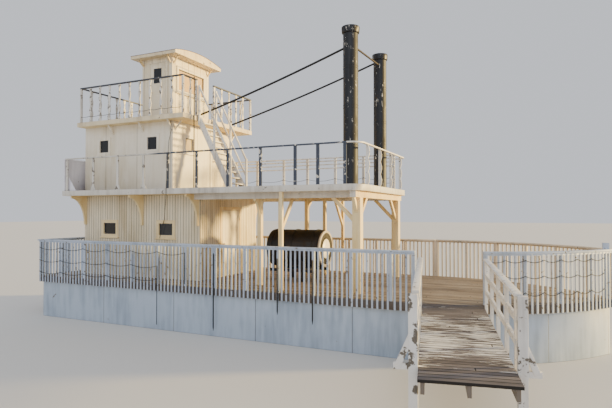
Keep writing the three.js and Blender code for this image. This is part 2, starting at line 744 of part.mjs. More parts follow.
function chimneyStay(side, { top, foot }) {
  const from = [...foot, TEXAS_RISE];
  const to = [CHIMNEY.x, side * CHIMNEY.y, top];
  const points = Array.from({ length: STAY.steps + 1 }, (_, n) => {
    const part = n / STAY.steps;
    const point = from.map((value, axis) => value + part * (to[axis] - value));
    point[2] -= 4 * STAY.sag * part * (1 - part);
    return point;
  });
  const [x, y] = foot;
  const under = block([x - 500, TEXAS_DECK.fore + 1], [y - 200, y + 200], [0, TEXAS_RISE + SEAT]);
  return tube(points, STAY.radius, STAY.facets).subtract(chimneyRoom(side)).subtract(under);
}

for (const [sideName, side] of SIDES) {
  const chimney = mesh(`chimney_${sideName}`, chimneyPipe(), PAINT.iron);
  chimney.position.set(CHIMNEY.x, side * CHIMNEY.y, 0);
  const stay = mesh(`chimney_stay_${sideName}`, chimneyStay(side, RIGGING[sideName]), PAINT.iron);
  boilerLevel.add(chimney, stay);
}
const [tieStarboard, tiePort] = RIGGING.tie;
boilerLevel.add(mesh('chimney_tie', rod(
  [CHIMNEY.x, -CHIMNEY.y, tieStarboard],
  [CHIMNEY.x, CHIMNEY.y, tiePort],
  RIGGING.tieRadius,
  STAY.facets,
).subtract(chimneyRoom(STARBOARD)).subtract(chimneyRoom(PORT)), PAINT.iron));

// Boiler deck rails: a thin top rail on flat posts with splayed feet, a closed panel at the stern
const UPPER_RAIL = {
  top: 965, rail: [60, 34], inset: 45, post: [80, 24], foot: 150, splay: 60, fromStern: 90,
};
// The port rail stands higher; places are the posts' distances along the boat
const SIDE_RAILS = {
  starboard: {
    top: 965,
    splayed: [-5730, -4790, -3840], // the posts that stand on splayed feet
    places: [-6800, -5730, -4790, -3840, -3000, -2055, -1090, -145, 800, 1385, 2055],
  },
  port: {
    top: 1090,
    splayed: [],
    places: [-6800, -5390, -4420, -3470, -2640, -1640, -780, 180, 1110, 2055],
  },
};

// A flat post in its own frame: X along the rail, standing on the deck, with a splayed foot
function flatPost(top, splayed) {
  const [width, thick] = UPPER_RAIL.post;
  const half = width / 2;
  if (!splayed) return block([-half, half], [-thick / 2, thick / 2], [SEAT, top]);
  const foot = half + UPPER_RAIL.splay;
  const shape = outline([
    [-foot, SEAT], [foot, SEAT], [half, UPPER_RAIL.foot],
    [half, top], [-half, top], [-half, UPPER_RAIL.foot],
  ]);
  return sheer(shape, [-thick / 2, thick / 2]);
}

function boilerSideRail(side, { top, splayed, places }) {
  const y = side * (BOILER_DECK.halfWidth - UPPER_RAIL.inset);
  const [width, depth] = UPPER_RAIL.rail;
  const rail = block(
    [BOILER_DECK.aft + UPPER_RAIL.fromStern, BOILER_DECK.fore - BOILER_DECK.corner],
    [y - width / 2, y + width / 2],
    [top - depth, top],
  );
  const posts = places.map(
    (x) => flatPost(top - depth + LAP, splayed.includes(x)).translate([x, y, 0]),
  );
  return union([rail, ...posts]);
}

// The front rail follows the deck's rounded corners, on balusters sawn to face the sides
const FRONT_BALUSTERS = { outermost: 1470, pitch: 980 };

function boilerFrontRail() {
  const [width, depth] = UPPER_RAIL.rail;
  const { top, inset } = UPPER_RAIL;
  const start = BOILER_DECK.fore - BOILER_DECK.corner + SEAT;
  const line = (offset) => cornerPoints(BOILER_DECK, inset - offset)
    .map(([x, y]) => [Math.max(x, start), y]);
  const rail = outline([...line(width / 2), ...line(-width / 2).reverse()]);
  const { outermost, pitch } = FRONT_BALUSTERS;
  const balusters = stations(-outermost, outermost, pitch).map(
    (y) => sawnBaluster(top - depth + LAP, SEAT).translate([BOILER_DECK.fore - inset, y, 0]),
  );
  return union([slab(rail, [top - depth, top]), ...balusters]);
}

// A flat baluster sawn to a waisted outline, in its own frame
const BALUSTER_HALF_THICK = 11;
// columns: part of the height, half width
const BALUSTER = [[0, 45], [0.28, 20], [0.5, 40], [0.72, 20], [1, 45]];

function sawnBaluster(top, foot) {
  const right = BALUSTER.map(([part, half]) => [half, foot + part * (top - foot)]);
  const left = right.map(([x, z]) => [-x, z]).reverse();
  return sheer(outline([...right, ...left]), [-BALUSTER_HALF_THICK, BALUSTER_HALF_THICK]);
}

const STERN_PANEL = {
  inset: 30, thick: 30, cap: [60, 40], gusset: { foot: 380, tall: 520, thick: 24, fromEnd: 90 },
};

function boilerSternPanel() {
  const { inset, thick, gusset } = STERN_PANEL;
  const [capWidth, capDepth] = STERN_PANEL.cap;
  const half = BOILER_DECK.halfWidth - inset;
  const x = BOILER_DECK.aft + inset;
  const middle = x + thick / 2;
  const under = UPPER_RAIL.top - capDepth;
  const gussets = SIDES.map(([, side]) => sheer(
    outline([[0, SEAT], [gusset.foot, SEAT], [0, gusset.tall]]), [-gusset.thick / 2, gusset.thick / 2],
  ).translate([x + thick - LAP, side * (half - gusset.fromEnd), 0]));
  return union([
    block([x, x + thick], [-half, half], [SEAT, under + LAP]),
    block([middle - capWidth / 2, middle + capWidth / 2], [-half, half], [under, UPPER_RAIL.top]),
    ...gussets,
  ]);
}

for (const [sideName, side] of SIDES) {
  const rail = boilerSideRail(side, SIDE_RAILS[sideName]);
  boilerLevel.add(mesh(`boiler_rail_${sideName}`, rail, PAINT.cream));
}
boilerLevel.add(
  mesh('boiler_rail_front', boilerFrontRail(), PAINT.cream),
  mesh('boiler_rail_stern', boilerSternPanel(), PAINT.cream),
);

// Texas cabin on the boiler deck
const TEXAS = { aft: -6690, fore: -3310, halfWidth: 1480, thick: 80 };
const TEXAS_HEIGHT = TEXAS_DECK.top - TEXAS_DECK.depth - BOILER_DECK.top;
const STRUT = { out: 220, drop: 280, deep: 45, thick: 45 };
const END_STRUT = 30; // from a wall's end to the middle of its last strut
const texasLength = TEXAS.fore - TEXAS.aft;
const strutPlaces = [1150, 2310, texasLength - END_STRUT];
const texasStruts = (places) => places.map((at) => wallStrut(at, TEXAS_HEIGHT - SEAT, STRUT));
const SQUARE_WINDOW = { z: 1340, width: 350, height: 360 };
const texasWindows = [790, 2640];
const FRONT_WINDOW_Y = -750;
const TEXAS_DOOR = { width: 640, height: 1780, y: 700 };
const texasInner = TEXAS.halfWidth - TEXAS.thick - SEAT;

cabin(boilerLevel, {
  name: 'texas',
  ...TEXAS,
  height: TEXAS_HEIGHT,
  paint: PAINT.cream,
  walls: {
    starboard: { windows: windowsOf(SQUARE_WINDOW, texasWindows) },
    port: { windows: windowsOf(SQUARE_WINDOW, fromFore(texasLength, texasWindows)) },
    front: {
      windows: windowsOf(SQUARE_WINDOW, [texasInner + FRONT_WINDOW_Y]),
      door: { ...TEXAS_DOOR, hinge: doorMiddle(TEXAS_DOOR.width, texasInner + TEXAS_DOOR.y) },
    },
  },
  extras: {
    starboard: texasStruts(strutPlaces),
    port: texasStruts(fromFore(texasLength, strutPlaces)),
    front: texasStruts([END_STRUT]),
  },
});

// Texas deck and its rails of sawn balusters, open at the head of the stair
boat.add(mesh('texas_deck', block(
  [TEXAS_DECK.aft, TEXAS_DECK.fore],
  [-TEXAS_DECK.halfWidth, TEXAS_DECK.halfWidth],
  [TEXAS_DECK.top - TEXAS_DECK.depth, TEXAS_DECK.top],
), PAINT.planks));

const TEXAS_RAIL = { top: 1055, rail: [60, 40], inset: 40, aftInset: 130, newel: 60 };
const STAIR = {
  starboard: -1110, port: -360, rise: TEXAS_DECK.top - BOILER_DECK.top, run: 1060, treads: 11,
  tread: [150, 30],
};

// A straight run of rail in its own frame, along X from 0, with newels at the ends asked for
function balusterRun(length, count, newelStart, newelEnd) {
  const [width, depth] = TEXAS_RAIL.rail;
  const { top, newel } = TEXAS_RAIL;
  const under = top - depth + LAP;
  const half = newel / 2;
  const ends = [half, length - half];
  const newels = ends.filter((_, end) => [newelStart, newelEnd][end]).map(
    (x) => block([x - half, x + half], [-half, half], [SEAT, under]),
  );
  const balusters = Array.from({ length: count }, (_, n) => sawnBaluster(under, SEAT)
    .translate([half + (length - newel) * (n + 1) / (count + 1), 0, 0]));
  const rail = block([0, length], [-width / 2, width / 2], [top - depth, top]);
  return union([rail, ...newels, ...balusters]);
}

const newelHalf = TEXAS_RAIL.newel / 2;
const texasEdge = TEXAS_DECK.halfWidth - TEXAS_RAIL.inset;
const texasEnd = TEXAS_DECK.fore - TEXAS_RAIL.inset;
const texasStart = TEXAS_DECK.aft + TEXAS_RAIL.aftInset;
const texasSpan = [texasStart - newelHalf, texasEnd - texasStart + TEXAS_RAIL.newel];
const railClear = newelHalf + SEAT;
const HEAD_ROOM = 20; // between the stair and the rails beside its head
const portRun = texasEdge - railClear - STAIR.port - HEAD_ROOM;
const starboardRun = texasEdge - railClear + STAIR.starboard - HEAD_ROOM;
// columns: name, start [x, y], quarter turns, length, balusters, newel at the start, at the end
const TEXAS_RUNS = [
  ['starboard', [texasSpan[0], -texasEdge], 0, texasSpan[1], 9, true, true],
  ['port', [texasSpan[0], texasEdge], 0, texasSpan[1], 9, true, true],
  ['aft', [texasStart, railClear - texasEdge], 1, 2 * (texasEdge - railClear), 9, false, false],
  ['front_port', [texasEnd, STAIR.port + HEAD_ROOM], 1, portRun, 4, true, false],
  ['front_starboard', [texasEnd, railClear - texasEdge], 1, starboardRun, 1, false, true],
];
for (const [name, [x, y], turns, ...run] of TEXAS_RUNS) {
  const rail = mesh(`texas_rail_${name}`, balusterRun(...run), PAINT.cream);
  texasLevel.add(place(rail, x, y, turns));
}

// Stair from the boiler deck to the texas deck, and its two handrails
const stairTop = TEXAS_DECK.fore + SEAT;
const stairFoot = stairTop + STAIR.run;
// back: how far behind the foot a stringer's lower edge starts; past: how far it runs ahead
const STRINGER = { thick: 40, drop: 215, back: 110, past: 60, toe: 60, head: 20, lead: 80 };
const STAIR_RAIL = {
  high: 930, from: 40, past: 20, section: [35, 45], post: 50, below: 160, over: 40, fromEnd: 10,
};

function stairSlope(x) { // height of the nosing line at a distance along the boat
  return STAIR.rise * (stairFoot - x) / STAIR.run;
}

function stair() {
  const side = outline([
    [stairTop, STAIR.rise - STRINGER.head],
    [stairTop, STAIR.rise - STRINGER.drop],
    [stairFoot - STRINGER.back, SEAT],
    [stairFoot + STRINGER.past, SEAT],
    [stairFoot + STRINGER.past, STRINGER.toe],
    [stairTop + STRINGER.lead, STAIR.rise - STRINGER.head],
  ]);
  const stringers = [STAIR.starboard, STAIR.port - STRINGER.thick].map(
    (y) => sheer(side, [y, y + STRINGER.thick]),
  );
  const [wide, thick] = STAIR.tread;
  const treads = Array.from({ length: STAIR.treads }, (_, n) => {
    const part = (n + 1) / (STAIR.treads + 1);
    const z = STAIR.rise * part;
    const x = stairTop + STAIR.run * (1 - part);
    return block(
      [x - wide / 2, x + wide / 2], [STAIR.starboard + LAP, STAIR.port - LAP], [z - thick, z],
    );
  });
  return union([...stringers, ...treads]);
}

function stairHandrail(y, midRail) {
  const top = stairTop + STAIR_RAIL.from;
  const foot = stairFoot + STAIR_RAIL.past;
  const { high, section, below, over, fromEnd } = STAIR_RAIL;
  const half = STAIR_RAIL.post / 2;
  const rail = (above) => bar(
    [top, y, stairSlope(top) + above], [foot, y, stairSlope(foot) + above], ...section,
  );
  const post = (x) => block(
    [x - half, x + half],
    [y - half, y + half],
    [Math.max(SEAT, stairSlope(x) - below), stairSlope(x) + high + over],
  );
  const places = [top + fromEnd, (top + foot) / 2, foot + 2 * fromEnd];
  const rails = midRail ? [rail(high), rail(high / 2)] : [rail(high)];
  return union([...rails, ...places.map(post)]);
}

const handrailClear = STAIR_RAIL.post / 2 + SEAT;
boilerLevel.add(mesh('texas_stair', stair(), PAINT.cream));
for (const [sideName, side] of SIDES) {
  const handrail = stairHandrail(STAIR[sideName] + side * handrailClear, side > 0);
  boilerLevel.add(mesh(`stair_handrail_${sideName}`, handrail, PAINT.cream));
}

// Pilothouse with a cambered roof
const PILOTHOUSE = { aft: -4960, fore: -3820, halfWidth: 900, thick: 60 };
const PILOTHOUSE_HEIGHT = 1920;
const ROOF = { aft: -5210, fore: -3500, halfWidth: 1150, edge: 100, crown: 250, steps: 10 };
const pilotInner = PILOTHOUSE.halfWidth - PILOTHOUSE.thick - SEAT;
const PILOTHOUSE_DOOR = {
  width: 560, height: 1760, hinge: 890, knob: 900, window: { z: 1383, width: 300, height: 450 },
};

cabin(texasLevel, {
  name: 'pilothouse',
  ...PILOTHOUSE,
  height: PILOTHOUSE_HEIGHT,
  paint: PAINT.cream,
  walls: {
    starboard: { door: PILOTHOUSE_DOOR },
    port: { windows: [{ at: 570, z: 1300, width: 420, height: 420 }] },
    front: { windows: [{ at: pilotInner, z: 1290, width: 1250, height: 620 }] },
    aft: { windows: [{ at: pilotInner, z: 1290, width: 900, height: 520 }] },
  },
});

function pilothouseRoof() {
  const shape = new THREE.Shape();
  shape.moveTo(-ROOF.halfWidth, SEAT);
  shape.lineTo(ROOF.halfWidth, SEAT);
  const rise = ROOF.crown - ROOF.edge;
  for (let step = 0; step <= ROOF.steps; step += 1) {
    const part = 1 - 2 * step / ROOF.steps;
    shape.lineTo(part * ROOF.halfWidth, ROOF.edge + rise * (1 - part * part));
  }
  return bulkhead(shape, [ROOF.aft, ROOF.fore]);
}
const roof = mesh('pilothouse_roof', pilothouseRoof(), PAINT.roof);
roof.position.z = PILOTHOUSE_HEIGHT;
texasLevel.add(roof);

// Gangway: a plank bridge from the starboard bow, turned towards the bow and falling a little,
// with handrails and two heavy posts that carry its shore end
const GANGWAY = {
  edge: [4430, -2200], yaw: -78.5, length: 4560, width: 1200, fall: 130,
  planks: 40, bearer: [50, 150], bearerInset: 60, start: -300,
};
const gangway = new THREE.Group();
gangway.position.set(GANGWAY.edge[0], GANGWAY.edge[1], MAIN.top);
gangway.rotation.z = GANGWAY.yaw * Math.PI / 180;
boat.add(gangway);
const fallAt = (x) => -GANGWAY.fall * x / GANGWAY.length;

function slopedBoard(from, to, [y0, y1], [under, over]) {
  return sheer(outline([
    [from, fallAt(from) + under], [to, fallAt(to) + under],
    [to, fallAt(to) + over], [from, fallAt(from) + over],
  ]), [y0, y1]);
}

function deckEdgeRoom() {
  const grown = slab(deckOutline(-SEAT), [-MAIN.top, MAIN.top]);
  return grown.translate([-GANGWAY.edge[0], -GANGWAY.edge[1], 0]).rotate([0, 0, -GANGWAY.yaw]);
}

function gangwayDeck() {
  const half = GANGWAY.width / 2;
  const { start, length, planks, bearerInset } = GANGWAY;
  const [wide, deep] = GANGWAY.bearer;
  const bearers = [-half + bearerInset, 0, half - bearerInset].map((y) => slopedBoard(
    start, length, [y - wide / 2, y + wide / 2], [-planks - deep, -planks + LAP],
  ));
  const boards = slopedBoard(start, length, [-half, half], [-planks, 0]);
  return union([boards, ...bearers]).subtract(deckEdgeRoom());
}

const SHORE_POST = {
  at: 4050, side: 120, brace: { to: -130, side: 80 }, sill: { z: [-170, -90], past: 55 },
  fore: { above: 940, from: 260, out: 110 },
  aft: { above: 920, from: 320, out: 140 },
};
// A flat top rail over two on edge; columns: the rail's top, its width, its depth
const HANDRAIL = {
  rails: [[955, 100, 40], [660, 40, 90], [360, 40, 90]], posts: [240, 1140, 2030, 2960, 3830],
  side: 56, above: 930, below: 190, from: 180,
};

function gangwayHandrail(side) {
  const inner = GANGWAY.width / 2 + SEAT;
  const y = side * (inner + HANDRAIL.side / 2);
  const to = SHORE_POST.at - SHORE_POST.side / 2 - SEAT;
  const rails = HANDRAIL.rails.map(([z, thick, deep]) => slopedBoard(
    HANDRAIL.from, to, [y - thick / 2, y + thick / 2], [z - deep, z],
  ));
  const half = HANDRAIL.side / 2;
  const posts = HANDRAIL.posts.map((x) => block(
    [x - half, x + half],
    [y - half, y + half],
    [fallAt(x) - HANDRAIL.below, fallAt(x) + HANDRAIL.above],
  ));
  return union([...rails, ...posts]);
}

function shorePost(side, { above, from, out }) {
  const { at, side: width, brace: prop, sill } = SHORE_POST;
  const half = width / 2;
  const y = side * (GANGWAY.width / 2 + SEAT + half);
  const face = y + side * half;
  const post = block([at - half, at + half], [y - half, y + half], [-MAIN.top, fallAt(at) + above]);
  const stick = bar([at, y, from], [at, face + side * out, prop.to], prop.side, prop.side);
  const ends = [y, face + side * (out + sill.past)].sort((a, b) => a - b);
  return union([post, stick, block([at - half / 2, at + half / 2], ends, sill.z)]);
}

gangway.add(mesh('gangway_deck', gangwayDeck(), PAINT.planks));
for (const [sideName, side] of [['fore', PORT], ['aft', STARBOARD]]) {
  gangway.add(mesh(`gangway_handrail_${sideName}`, gangwayHandrail(side), PAINT.cream));
  const post = shorePost(side, SHORE_POST[sideName]);
  gangway.add(mesh(`gangway_post_${sideName}`, post, PAINT.cream));
}

// Stern paddle wheel on its shaft between two timbers that run aft from the transom
const WHEEL = {
  x: -8170, z: 580, radius: 520, halfWidth: 1180, arms: 8, shaft: 45, facets: 24,
  board: { deep: 150, thick: 30, ahead: 10 },
};
const WHEEL_FRAME = {
  inset: 40, ring: { inner: 410, outer: 450, half: 18, facets: 16 },
  hub: { radius: 120, half: 35, facets: 8 }, arm: { from: 100, short: 10, half: [30, 16] },
};
const TIMBER = { y: 1290, wide: 120, deep: 200, pastWheel: 200, cheek: { run: 420, half: 330 } };
const SHAFT_PAST = 90; // beyond the middle of each timber

function drum(inner, outer, half, facets) {
  return turned([[inner, -half], [outer, -half], [outer, half], [inner, half], [inner, -half]], facets);
}

function disc(radius, half, facets) {
  return turned([[0, -half], [radius, -half], [radius, half], [0, half]], facets);
}

function wheelFrame() {
  const { ring, hub, arm } = WHEEL_FRAME;
  const [wide, thick] = arm.half;
  const arms = Array.from({ length: WHEEL.arms }, (_, n) => block(
    [arm.from, WHEEL.radius - arm.short], [-wide, wide], [-thick, thick],
  ).rotate([0, 0, 360 * n / WHEEL.arms]));
  return union([
    drum(ring.inner, ring.outer, ring.half, ring.facets),
    disc(hub.radius, hub.half, hub.facets),
    ...arms,
  ]);
}

function paddleWheel() {
  const { deep, thick, ahead } = WHEEL.board;
  const spread = WHEEL.halfWidth - WHEEL_FRAME.inset;
  const frames = [-spread, 0, spread].map((z) => wheelFrame().translate([0, 0, z]));
  const boards = Array.from({ length: WHEEL.arms }, (_, n) => block(
    [WHEEL.radius - deep, WHEEL.radius], [ahead, ahead + thick], [-WHEEL.halfWidth, WHEEL.halfWidth],
  ).rotate([0, 0, 360 * n / WHEEL.arms]));
  const shaft = disc(WHEEL.shaft, TIMBER.y + SHAFT_PAST, WHEEL.facets);
  return union([shaft, ...frames, ...boards]);
}

const wheel = mesh('paddle_wheel', paddleWheel(), PAINT.planks);
wheel.position.set(WHEEL.x, 0, WHEEL.z);
wheel.rotation.x = Math.PI / 2;
boat.add(wheel);

// Each timber has a cheek against the transom and a bored bearing for the shaft
const THROUGH_TIMBER = 500;

for (const [sideName, side] of SIDES) {
  const y = side * TIMBER.y;
  const across = [y - TIMBER.wide / 2, y + TIMBER.wide / 2];
  const hullEnd = MAIN.stern + HULL_INSET - SEAT;
  const { run, half } = TIMBER.cheek;
  const timber = block(
    [WHEEL.x - TIMBER.pastWheel, hullEnd], across, [WHEEL.z - TIMBER.deep / 2, WHEEL.z + TIMBER.deep / 2],
  );
  const cheek = sheer(outline([
    [hullEnd - run, WHEEL.z], [hullEnd, WHEEL.z - half], [hullEnd, WHEEL.z + half],
  ]), across);
  const journal = (WHEEL.shaft + SEAT) / Math.cos(Math.PI / WHEEL.facets);
  const [from, to] = [y - THROUGH_TIMBER, y + THROUGH_TIMBER];
  const bearing = rod([WHEEL.x, from, WHEEL.z], [WHEEL.x, to, WHEEL.z], journal, WHEEL.facets);
  const whole = union([timber, cheek]).subtract(bearing);
  boat.add(mesh(`wheel_timber_${sideName}`, whole, PAINT.cream));
}

export default boat;
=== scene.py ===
"""A small timber river steamboat that stands on land: paint, planking, glazing and fittings.

Metres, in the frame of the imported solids: +X to the bow, +Y to port, +Z up, the floor at z = 0.
"""
import json
from functools import partial
from math import atan, cos, pi, radians, sin

import bmesh
import bpy
import numpy as np
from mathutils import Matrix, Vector


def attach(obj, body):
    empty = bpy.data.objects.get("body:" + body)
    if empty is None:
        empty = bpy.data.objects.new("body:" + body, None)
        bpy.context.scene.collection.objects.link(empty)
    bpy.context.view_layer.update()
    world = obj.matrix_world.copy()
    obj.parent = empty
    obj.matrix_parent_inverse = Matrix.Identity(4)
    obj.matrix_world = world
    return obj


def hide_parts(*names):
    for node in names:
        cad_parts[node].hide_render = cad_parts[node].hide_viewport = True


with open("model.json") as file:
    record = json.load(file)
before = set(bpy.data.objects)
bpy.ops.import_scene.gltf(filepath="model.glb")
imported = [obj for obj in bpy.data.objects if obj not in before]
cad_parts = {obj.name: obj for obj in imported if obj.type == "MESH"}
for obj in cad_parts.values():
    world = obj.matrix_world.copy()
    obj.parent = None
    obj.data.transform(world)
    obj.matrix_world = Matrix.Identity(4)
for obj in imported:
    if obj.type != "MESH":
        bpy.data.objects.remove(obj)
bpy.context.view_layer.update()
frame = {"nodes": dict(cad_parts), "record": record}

BODY_OF = {
    name: body
    for body, names in frame["record"]["behaviour"]["bodies"].items() for name in names
}
HULL = "steamer"
X, Y, Z = np.eye(3)
SEAT = 0.0003  # what a piece stands off the one that carries it

# Levels and outlines of the boat, as in the solids
MAIN_TOP, BOILER_TOP, TEXAS_TOP = 1.2, 3.71, 5.78
HALF_BEAM, STERN, BOW_START, BOW_RADIUS = 2.4, -7.52, 3.2, 5.05
CABIN_AFT, DECKHOUSE_FORE, CABIN_HALF = -6.69, -2.36, 1.48
DECKHOUSE_LONG, CABIN_WIDE = DECKHOUSE_FORE - CABIN_AFT, 2 * CABIN_HALF
GANGWAY_AT, GANGWAY_YAW = (4.43, -2.2, MAIN_TOP), radians(-78.5)
GANGWAY = {"length": 4.56, "width": 1.2, "fall": 0.13, "planks": 40, "thick": 0.04}


# -------------------- shapes
def skin(rings, closed=False):
    """Closed surface through rings of points: grid[r, c] joins [r + 1, c + 1], with flat end caps,
    or, when closed, with the last ring joined to the first."""
    rings = np.asarray(rings, float)
    here = np.arange(rings.size // 3).reshape(rings.shape[:2])
    above = np.roll(here, -1, axis=0)
    quads = np.stack([here, np.roll(here, -1, axis=1), np.roll(above, -1, axis=1), above], axis=-1)
    if closed:
        return rings.reshape(-1, 3), quads.reshape(-1, 4).tolist()
    caps = [here[0][::-1].tolist(), here[-1].tolist()]
    return rings.reshape(-1, 3), quads[:-1].reshape(-1, 4).tolist() + caps


def revolved(profile, middle=(0, 0, 0), axis="z", segments=64, closed=False):
    """Profile points (radius, height) turned about an axis: r cos a, r sin a, h."""
    radius, height = np.asarray(profile, float).T
    angle = np.linspace(0, 2 * pi, segments, endpoint=False)
    first, second = np.outer(radius, np.cos(angle)), np.outer(radius, np.sin(angle))
    level = np.broadcast_to(height[:, None], first.shape)
    parts = {"z": (first, second, level), "x": (level, first, second),
             "y": (second, level, first)}[axis]
    return skin(np.stack(parts, axis=-1) + np.asarray(middle, float), closed)


def spokes(count, axis):
    """Directions evenly round an axis, numbered from X as 0, and those a quarter turn on: cos a
    and sin a, and -sin a and cos a, in the two places beside the axis."""
    angle = np.linspace(0, 2 * pi, count, endpoint=False)
    flat = np.stack([np.cos(angle), np.sin(angle)], axis=-1)
    return np.insert(flat, axis, 0, axis=1), np.insert(flat[:, ::-1] * [-1, 1], axis, 0, axis=1)


def ring(radius, count=12):
    """Points of a circle in (across, up)."""
    return radius * spokes(count, 2)[0][:, :2]


def carried(profile, path, up=(0, 0, 1)):
    """Profile points (across, up) carried along a path: p + a * side + u * normal, where side is
    up x tangent and normal is tangent x side."""
    path, profile = np.asarray(path, float), np.asarray(profile, float)
    tangent = np.gradient(path, axis=0)
    tangent /= np.linalg.norm(tangent, axis=1, keepdims=True)
    side = np.cross(np.asarray(up, float), tangent)
    side /= np.linalg.norm(side, axis=1, keepdims=True)
    normal = np.cross(tangent, side)
    return skin(path[:, None] + profile[None, :, :1] * side[:, None]
                + profile[None, :, 1:] * normal[:, None])


def eased(width, depth, edge):
    """Outline of a timber's section: a rectangle with its four corners cut at 45 degrees."""
    w, d, e = width / 2, depth / 2, edge
    return np.array([(-w + e, -d), (w - e, -d), (w, -d + e), (w, d - e),
                     (w - e, d), (-w + e, d), (-w, d - e), (-w, -d + e)])


def timbers(starts, ends, width, depth, up=(0, 0, 1), edge=0.003):
    """Straight timbers, all at once: the eased section stands at both ends of each, and the ends
    are drawn in by the same ease, so that four rings make each piece."""
    starts, ends = np.atleast_2d(starts), np.atleast_2d(ends)
    length = np.linalg.norm(ends - starts, axis=1, keepdims=True)
    along = (ends - starts) / length
    side = np.cross(np.broadcast_to(np.asarray(up, float), along.shape), along)
    side /= np.linalg.norm(side, axis=1, keepdims=True)
    normal = np.cross(along, side)
    section = eased(width, depth, edge)
    inner = section * (1 - 2 * edge / np.array([width, depth]))
    profile = np.stack([inner, section, section, inner])
    reach = np.stack([0 * length, 0 * length + edge, length - edge, length], axis=1)
    rings = (starts[:, None, None] + reach[:, :, None] * along[:, None, None]
             + profile[None, :, :, :1] * side[:, None, None]
             + profile[None, :, :, 1:] * normal[:, None, None])
    return many([skin(one) for one in rings])


def many(shapes):
    """Several shapes as one: the corner numbers of each are counted on from the last."""
    corners, faces, count = [], [], 0
    for points, polygons in shapes:
        corners.append(points)
        faces += [[corner + count for corner in polygon] for polygon in polygons]
        count += len(points)
    return np.concatenate(corners), faces


def rivets(places, outward, first, radius, rise):
    """Domed heads at places: rings of radius r cos a at height rise sin a, a from 0 to 75
    degrees, each turned so that its Z looks outward and its X along first: R p + t."""
    turn = np.radians([0, 40, 75])
    profile = np.stack([radius * np.cos(turn), rise * np.sin(turn)], axis=-1)
    points, polygons = revolved(np.concatenate([[(radius, -0.002)], profile]), segments=8)
    turns = np.stack(np.broadcast_arrays(first, np.cross(outward, first), outward), axis=-1)
    moved = np.einsum("...ij,nj->...ni", turns, points) + np.asarray(places)[:, None]
    return many([(one, polygons) for one in moved])


def sawn(middles, foot, top, yaw, outer=False):
    """Sawn balusters 22 mm thick: half width 31 + 14 cos(6 pi t) mm at part t of the height, so
    that each has three waists. With outer, the one edge is straight and the other has three
    rounded lobes, 12 + 33 |sin(3 pi t)| mm out."""
    part = np.linspace(0, 1, 37)
    half = 0.031 + 0.014 * np.cos(6 * pi * part)
    near, far = -half, half
    if outer:
        near, far = -0.04 + 0 * part, 0.012 + 0.033 * np.abs(np.sin(3 * pi * part))
    across = np.stack([near, far, far, near], axis=-1)
    through = np.broadcast_to(np.array([-1, -1, 1, 1]) * 0.022 / 2, across.shape)
    level = np.broadcast_to((foot + part * (top - foot))[:, None], across.shape)
    local = np.stack([across * cos(yaw) - through * sin(yaw),
                      across * sin(yaw) + through * cos(yaw), level], axis=-1)
    return many([skin(local + np.array([x, y, 0.0])) for x, y in middles])


def laid(shape, origin, yaw=0.0):
    """A shape turned about the vertical and set down at a place."""
    points, polygons = shape
    turn = np.array([[cos(yaw), -sin(yaw), 0], [sin(yaw), cos(yaw), 0], [0, 0, 1]])
    return points @ turn.T + np.asarray(origin, float), polygons


# -------------------- pieces
def declare(name, mesh, finishes, body, stands_for, edge=0.0):
    """Puts a mesh into the scene, with a two-step bevel as wide as edge on its sharp edges,
    hangs it under the empty of the body it rides on, and hides the solid it stands for."""
    for finish in finishes:
        mesh.materials.append(finish)
    thing = bpy.data.objects.new(name, mesh)
    bpy.context.scene.collection.objects.link(thing)
    if edge:
        bevel = thing.modifiers.new("eased edges", "BEVEL")
        bevel.width, bevel.segments, bevel.harden_normals = edge, 2, True
        bevel.limit_method, bevel.angle_limit = "ANGLE", radians(28)
    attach(thing, body)
    if stands_for:
        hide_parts(stands_for)


def piece(name, shape, finish, body=HULL, stands_for=None):
    """A shape as a piece: its faces turned out, and its angles under 35 degrees shaded smooth."""
    points, polygons = shape
    mesh = bpy.data.meshes.new(name)
    mesh.from_pydata(points.tolist(), [], polygons)
    shell = bmesh.new()
    shell.from_mesh(mesh)
    bmesh.ops.remove_doubles(shell, verts=shell.verts, dist=1e-6)
    bmesh.ops.recalc_face_normals(shell, faces=shell.faces)
    shell.to_mesh(mesh)
    shell.free()
    mesh.polygons.foreach_set("use_smooth", np.ones(len(mesh.polygons), bool))
    mesh.set_sharp_from_angle(angle=radians(35))
    declare(name, mesh, [finish], body, stands_for)


def planed(name, finishes, edge=0.003, pick=None):
    """A carried-over timber or plate with its edges eased: a copy of the solid, its flat faces
    joined, and each face given finishes[pick(face)]."""
    shell = bmesh.new()
    shell.from_mesh(frame["nodes"][name].data)
    bmesh.ops.remove_doubles(shell, verts=shell.verts, dist=1e-5)
    bmesh.ops.dissolve_limit(shell, angle_limit=radians(0.4), verts=shell.verts, edges=shell.edges)
    shell.normal_update()
    for face in shell.faces:
        face.smooth = True
        if pick:
            face.material_index = pick(face)
    mesh = bpy.data.meshes.new(name + "_dressed")
    shell.to_mesh(mesh)
    shell.free()
    declare(name + "_dressed", mesh, finishes, BODY_OF[name], name, edge)


# -------------------- finishes
def srgb(code):
    """A hex colour as linear RGBA: ((c + 0.055) / 1.055) ** 2.4 above 0.04045, c / 12.92 below."""
    parts = [int(code[i:i + 2], 16) / 255 for i in (1, 3, 5)]
    return [c / 12.92 if c <= 0.04045 else ((c + 0.055) / 1.055) ** 2.4 for c in parts] + [1.0]


def feed(made, inputs):
    """Sets a node's inputs, by name or number, to values, sockets, or nodes' first outputs."""
    for key, value in inputs.items():
        value = value.outputs[0] if isinstance(value, bpy.types.Node) else value
        if isinstance(value, bpy.types.NodeSocket):
            made.id_data.links.new(value, made.inputs[key])
        else:
            made.inputs[key].default_value = value


